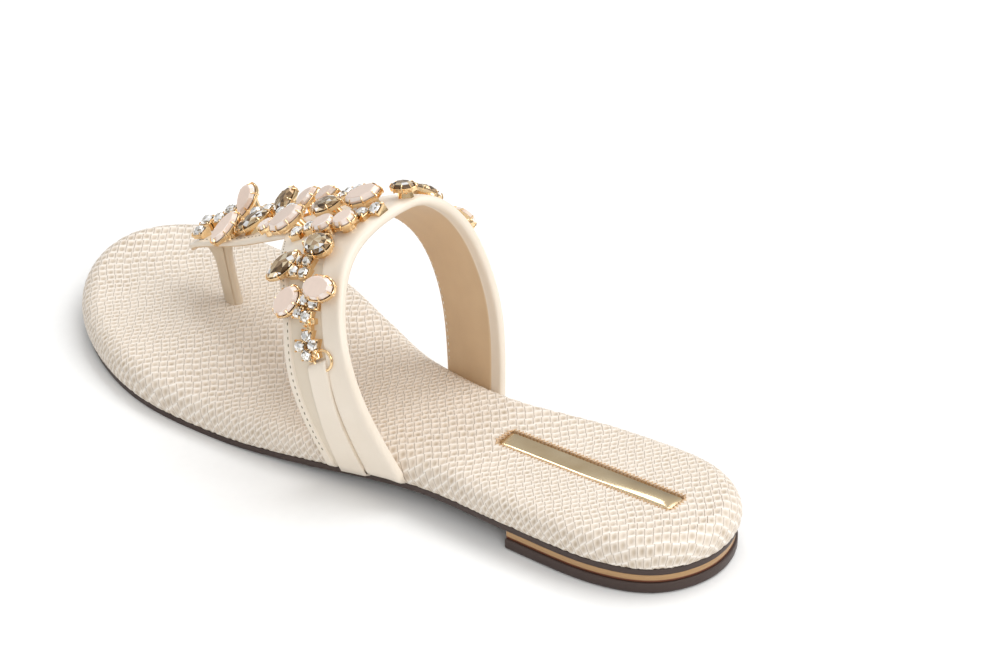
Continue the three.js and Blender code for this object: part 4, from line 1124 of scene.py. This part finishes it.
# colours of each kind of glass, with bright and dark reflections painted on the facets as tones of their
# own
glassColoursAndReflections = {
    "milky": {"table": ["#F0DACB"], "facets": ["#F3E2D6", "#EDD7C8", "#E7CFBE", "#F9EFE8"]},
    "smoky": {"table": ["#C2A178", "#DEC49C", "#A68660", "#F0DFC0", "#D4B88E", "#8E6F4A"],
              "facets": ["#775B3A", "#B5966E", "#E8D4B0", "#5C4424", "#FFFFFF", "#9B7D56"]},
    "clear": {"table": ["#FFFFFF", "#F4F0E8", "#FFFFFF", "#CFC7BA"],
              "facets": ["#FFFFFF", "#F7F4EE", "#C9C0B0", "#FFFFFF", "#94897A", "#FFFFFF"]},
}
# size, height and half-step turn of each row of facets, from the back to the table
cuts = {
    "milky": [(0.8, 0.1, 0.5), (1, 0.42, 0.5), (1, 0.58, 0.5), (0.86, 0.86, 0.5), (0.8, 0.9, 0.5)],
    "smoky": [(0.7, 0, 0.5), (1, 0.4, 0.5), (1, 0.5, 0.5), (0.84, 0.8, 1.0), (0.58, 1, 0.5)],
    "clear": [(0.7, 0, 0.5), (1, 0.35, 0.5), (1, 0.45, 0.5), (0.8, 0.8, 1.0), (0.5, 1, 0.5)],
}
facetsRound = {"milky": 16, "smoky": 12, "clear": 8}
# where claws stand round each cut, in degrees
clawTurns = {
    "oval": [20, 70, 110, 160, 200, 250, 290, 340], "drop": [0, 60, 120, 180, 240, 300],
    "octagon": [22.5, 67.5, 112.5, 157.5, 202.5, 247.5, 292.5, 337.5],
    "marquise": [0, 62, 118, 180, 242, 298],
}
facetDraw = np.random.default_rng(11)


def cutPoint(cut, turns):
    c, s = np.cos(turns), np.sin(turns)
    if cut == "marquise":
        return np.stack([c, s * np.abs(s) ** 0.4], -1)
    if cut == "drop":
        return np.stack([c, s * np.abs(np.sin(turns / 2)) ** 0.8], -1)
    if cut == "octagon":
        reach = np.minimum(0.94 / np.maximum(np.abs(c), np.abs(s)), 1.14)
        return np.stack([reach * c, reach * s], -1)
    return np.stack([c, s], -1)


def cutRing(cut, length, width, height, sides, shift=0.5):
    flat = cutPoint(cut, 2 * np.pi * (np.arange(sides) + shift) / sides) * (length / 2, width / 2)
    return np.column_stack([flat, np.full(sides, height)])


def cutStone(cut, length, width, base, height, kind):
    # points, faces and a tone for each facet, partly a painted reflection: table, two rows of crown
    # facets, girdle, back
    steps = cuts[kind]
    sides = facetsRound[kind]
    if cut == "octagon":
        sides = 8
        steps = [(size, rise, 0.5) for size, rise, _ in steps]
    rings = [
        cutRing(cut, length * size, width * size, base + rise * height, sides, shift)
        for size, rise, shift in steps
    ]
    points = np.concatenate([*rings, [[0, 0, base + height * 1.02]]])
    faces, shades = [], []

    def addFacet(face, tone):
        faces.append(face)
        shades.append(linearColour(tone))
    facetTones, tableTones = glassColoursAndReflections[kind]["facets"], glassColoursAndReflections[kind]["table"]
    for row in range(len(rings) - 1):
        crossed = steps[row + 1][2] != steps[row][2]
        back = steps[row][2] > steps[row + 1][2]
        for i in range(sides):
            j = (i + 1) % sides
            a, b = row * sides + i, row * sides + j
            c, d = b + sides, a + sides
            first, second = facetDraw.choice(facetTones, 2)
            if not crossed:
                addFacet([a, b, c, d], first)
            elif back:
                addFacet([a, b, c], first)
                addFacet([a, c, d], second)
            else:
                addFacet([a, b, d], first)
                addFacet([b, c, d], second)
    top = (len(rings) - 1) * sides
    if kind == "milky":
        addFacet([top + i for i in range(sides)], tableTones[0])
        points = points[:-1]
    else:
        for i in range(sides):
            addFacet([top + i, top + (i + 1) % sides, len(points) - 1], facetDraw.choice(tableTones))
    addFacet([sides - 1 - i for i in range(sides)], facetTones[0])
    return points, faces, shades


def placed(points, seat):
    axes, origin = seat
    return np.asarray(points) @ axes.T + origin


def footRing(row, flat):
    # where a cup's stem meets the strap, a little below its face
    y, angle = row["y"], row["angle"]
    arc = np.linalg.norm(formPoint(y, angle + 0.5) - formPoint(y, angle - 0.5))
    spun = np.asarray(flat)[:, :2] @ rotation("Z", row["turn"])[:2, :2].T
    places = [(y + back, float(np.clip(angle + aside / arc, 1, 179))) for back, aside in spun]
    return np.array([seatOn(*place, -0.15)[1] for place in places])


def cupParts(row):
    # a cast cup that follows the stone's outline, with claws bent over its edge
    cut, length, width = row["cut"], row["length"], row["width"]
    sides = 8 if cut == "octagon" else 28
    wall, stem = jewel["cupWall"], jewel["stem"]
    stoneHeight = jewel["stoneBase"] + jewel["stoneRise"] * width
    base = jewel["cupHeight"] + jewel["gap"]
    rim = base + 0.36 * stoneHeight
    lip = rim - jewel["bezel"]

    def outline(grow, share, height):
        return cutRing(cut, (length + 2 * grow) * share, (width + 2 * grow) * share, height, sides)

    rings = [footRing(row, outline(0, stem, 0))]
    for grow, share, height in (
        (0, stem, lip - 0.5), (0, 0.8, lip - 0.15), (wall - 0.1, 1, lip), (wall, 1, lip + 0.15),
        (wall, 1, rim - 0.12), (wall - 0.12, 1, rim), (0.08, 1, rim - 0.1), (0.02, 1, base - 0.1),
        (0, 0.6, base - 0.15),
    ):
        rings.append(placed(outline(grow, share, height), row["seat"]))
    parts = [(*loft(rings), 0)]
    radii = jewel["claw"] * np.array([0.9, 1, 0.95, 0.7])
    for spot in cutPoint(cut, np.radians(clawTurns[cut])):
        outer = spot * (length / 2 + wall, width / 2 + wall)
        inner = spot * (length / 2 * 0.92 - 0.1, width / 2 * 0.92 - 0.1)
        tipHeight = base + 0.8 * stoneHeight
        bend = [*(outer + inner) / 2, (rim + 0.1 + tipHeight) / 2 + 0.064 * stoneHeight]
        path = [[*outer * 0.97, lip - 0.15], [*outer, rim + 0.1], bend, [*inner, tipHeight]]
        parts.append((*tube(placed(path, row["seat"]), radii, 6), 0))
    return parts


def crystalParts(row):
    # a square box-chain cup with a bead at each corner
    half = jewel["box"] * row["width"] / 2
    square = np.array([(half, half), (-half, half), (-half, -half), (half, -half)])
    top = jewel["crystalHeight"] * 0.55
    rings = [footRing(row, square * 0.94)]
    seated = ((0.95, top), (0.78, top), (0.74, top - 0.5))
    closed = ((0.9, top), (0.55, top + 0.2), (0.12, top + 0.25))
    for share, height in ((0.97, 0.5), (1, top - 0.1), *(closed if row.get("closed") else seated)):
        rings.append(placed(np.column_stack([square * share, np.full(4, height)]), row["seat"]))
    parts = [(*loft(rings), 0)]
    bead = ((0.93, top - 0.5), (0.95, top + 0.2), (0.84, top + 0.6), (0.7, top + 0.75))
    for corner in square:
        points = [[*corner * share, height] for share, height in bead]
        parts.append((*tube(placed(points, row["seat"]), [0.2, 0.24, 0.22, 0.16], 6), 0))
    return parts


def linkParts(first, second):
    # a flat bar along the strap's face from one cup to the next
    spots = []
    for t in np.linspace(0, 1, 5):
        y = first["y"] + (second["y"] - first["y"]) * t
        angle = first["angle"] + (second["angle"] - first["angle"]) * t
        spots.append(seatOn(y, angle, 0.45))
    path = np.array([spot[1] for spot in spots])
    ahead = unit(np.gradient(path, axis=0))
    rings = []
    for (axes, _), point, direction in zip(spots, path, ahead):
        out = axes[:, 2]
        side = unit(np.cross(out, direction)) * jewel["linkHalf"]
        low, high = point - out * 0.5, point + out * 0.45
        rings.append([low - side, low + side, high + side, high - side])
    return [(*loft(rings), 0)]


def seatedRow(at, angle, lift, roll, turn, inner, **facts):
    # a jewel's facts with its place and axes; inner mirrors it to the inner side
    angle = 180 - angle if inner else angle
    turn, roll = (-turn, -roll) if inner else (turn, roll)
    y = float(alongY(at))
    return {**facts, "y": y, "angle": angle, "turn": turn, "seat": seatOn(y, angle, lift, turn, roll)}


def seatJewels():
    stones = []
    for prefix, inner, table in (
        ("", False, ridgeStones), ("outer_", False, legStones), ("inner_", True, legStones),
    ):
        for name, cut, length, width, *place in table:
            facts = {"name": prefix + name, "cut": cut, "length": length, "width": width}
            stones.append(seatedRow(*place, inner, **facts))
    crystals = []
    for at, angle, lift in ridgeCrystals:
        roll = jewel["crystalRoll"] if angle > 80 else 0
        crystals.append(seatedRow(at, angle, lift, roll, 0, False, width=jewel["ridgeCrystal"]))
    for inner in (False, True):
        for place in legCrystals:
            crystals.append(seatedRow(*place, legLift, 0, 0, inner, width=jewel["legCrystal"]))
    return stones, crystals


def cutPiece(name, parts, shades, finish, replaced=()):
    piece = makePiece(name, parts, [finish], replaced, smooth=False)
    facet = piece.data.attributes.new("facet", "FLOAT_COLOR", "FACE")
    facet.data.foreach_set("color", np.array(shades, float).ravel())


def makeStones(stones, crystals):
    finishes = {"smoky": smokyGlass, "milky": milkyGlass}
    base = jewel["cupHeight"] + jewel["gap"]
    for stone in stones:
        name, width = stone["name"], stone["width"]
        kind = "smoky" if name.endswith(smokyNames) else "milky"
        height = jewel["stoneBase"] + jewel["stoneRise"] * width
        points, faces, shades = cutStone(stone["cut"], stone["length"], width, base, height, kind)
        parts = [(placed(points, stone["seat"]), faces, 0)]
        cutPiece(f"cut_{name}", parts, shades, finishes[kind], [name])
    parts, shades = [], []
    height = jewel["crystalHeight"]
    for crystal in crystals:
        width = crystal["width"]
        points, faces, crystalReflections = cutStone("oval", width, width, height * 0.45, height * 0.62, "clear")
        parts.append((placed(points, crystal["seat"]), faces, 0))
        shades += crystalReflections
    cutPiece("clear_crystals", parts, shades, clearGlass)


def makeSetting(stones, crystals):
    metal = []
    for stone in stones:
        metal += cupParts(stone)
    for crystal in crystals:
        metal += crystalParts(crystal)
    for inner in (False, True):
        for place in chainCups:
            facts = {"width": jewel["chainCup"], "closed": True}
            metal += crystalParts(seatedRow(*place, legLift, 0, 20, inner, **facts))
    # bars from each jewel to its nearest neighbour that is already joined
    jewels = stones + crystals
    places = np.array([row["seat"][1] for row in jewels])
    reach = np.array([row["width"] / 2 for row in jewels])
    joined = [0]
    while len(joined) < len(jewels):
        rest = [i for i in range(len(jewels)) if i not in joined]
        distance = np.linalg.norm(places[joined][:, None] - places[rest][None], axis=-1)
        a, b = np.unravel_index(distance.argmin(), distance.shape)
        first, second = joined[a], rest[b]
        joined.append(second)
        if distance[a, b] - reach[first] - reach[second] < jewel["longestLink"]:
            metal += linkParts(jewels[first], jewels[second])
    makePiece("gold_setting", metal, [gold], ["setting"], sharpAngle=40)


stones, crystals = seatJewels()
makeStones(stones, crystals)
makeSetting(stones, crystals)
print("jewels made")

# Studio: pale floor, soft lights over the shoe and towards its heel, camera of the photograph

view = {
    "target": (-34.71, 12.66, 20), "azimuth": 131.52, "elevation": 30.24, "distance": 1113.5,
    "lens": 134.55, "sensor": 36,
}
sky = {"colour": "#FFFFFF", "horizon": 0.32, "zenith": 0.82, "from": 0.05, "to": 0.7}
backdrop = {"light": "#FAFAF9", "dark": "#F6F6F5", "fibre": 3.33, "reach": 4.0, "drop": 0.0001}
# direction as shares to the camera's right, towards the camera along the floor, and up; then
# distance and diameter in metres, and power
lights = {
    "keyLight": (0.5, -0.2, 1, 1.6, 1.2, 9.5), "sideLight": (0.9, 0.4, 0.62, 1.8, 0.7, 5),
    "frontLight": (0.2, 1, 0.6, 2.0, 0.8, 7), "stripLight": (-0.0793, -0.6044, 0.8, 1.4, 0.3, 1.4),
}


def makeFloor():
    # Seamless background paper: matt, with a faint fibre that keeps its white from going flat.
    material, tree = newMaterial("paperBackdrop")
    place = addNode(tree, "TexCoord").outputs["Object"]
    scale = 1000 / backdrop["fibre"]
    fibre = addNode(tree, "TexNoise", {"Vector": place, "Scale": scale, "Detail": 3.0})
    both = linearColour(backdrop["dark"]), linearColour(backdrop["light"])
    tone = addNode(tree, "Mix", (fibre, *both), data_type="RGBA")
    finishMaterial(tree, {"Base Color": tone, "Roughness": 0.8, "Specular IOR Level": 0.2})
    mesh = bpy.data.meshes.new("floor")
    corners = np.array([(-1, -1, 0), (1, -1, 0), (1, 1, 0), (-1, 1, 0)]) * backdrop["reach"]
    mesh.from_pydata(corners.tolist(), [], [(0, 1, 2, 3)])
    mesh.materials.append(material)
    floor = bpy.data.objects.new("floor", mesh)
    floor.location.z = -backdrop["drop"]
    bpy.context.scene.collection.objects.link(floor)


def makeCamera():
    azimuth, elevation = math.radians(view["azimuth"]), math.radians(view["elevation"])
    level = Vector((math.sin(azimuth), -math.cos(azimuth), 0))
    right = Vector((math.cos(azimuth), math.sin(azimuth), 0))
    back = level * math.cos(elevation) + Vector((0, 0, math.sin(elevation)))
    camera = bpy.data.objects.new("camera", bpy.data.cameras.new("camera"))
    camera.data.lens = view["lens"]
    camera.data.sensor_width = view["sensor"]
    camera.data.clip_start = 0.01
    camera.data.clip_end = 20
    facing = Matrix((right, back.cross(right), back)).transposed().to_4x4()
    place = (Vector(view["target"]) + back * view["distance"]) / 1000
    camera.matrix_world = Matrix.Translation(place) @ facing
    bpy.context.scene.collection.objects.link(camera)
    bpy.context.scene.camera = camera
    return right, level


def makeLights(right, level):
    for name, (aside, near, rise, distance, size, power) in lights.items():
        light = bpy.data.lights.new(name, "AREA")
        light.shape = "DISK"
        light.size = size
        light.energy = power
        lamp = bpy.data.objects.new(name, light)
        direction = (right * aside + level * near + Vector((0, 0, rise))).normalized()
        lamp.location = direction * distance
        lamp.rotation_euler = direction.to_track_quat("Z", "Y").to_euler()
        bpy.context.scene.collection.objects.link(lamp)


def makeSky():
    # soft white all round, brighter overhead
    world = bpy.data.worlds.new("studio")
    world.use_nodes = True
    tree = world.node_tree
    tree.nodes.clear()
    toward = addNode(tree, "TexCoord").outputs["Generated"]
    height = addNode(tree, "SeparateXYZ", (toward,)).outputs["Z"]
    strength = addNode(tree, "MapRange", {
        "Value": height, "From Min": sky["from"], "From Max": sky["to"],
        "To Min": sky["horizon"], "To Max": sky["zenith"],
    })
    glow = addNode(tree, "Background", {"Color": linearColour(sky["colour"]), "Strength": strength})
    addNode(tree, "OutputWorld", {"Surface": glow})
    bpy.context.scene.world = world


makeFloor()
makeLights(*makeCamera())
makeSky()
bpy.context.scene.view_settings.view_transform = "Standard"
print("studio made")
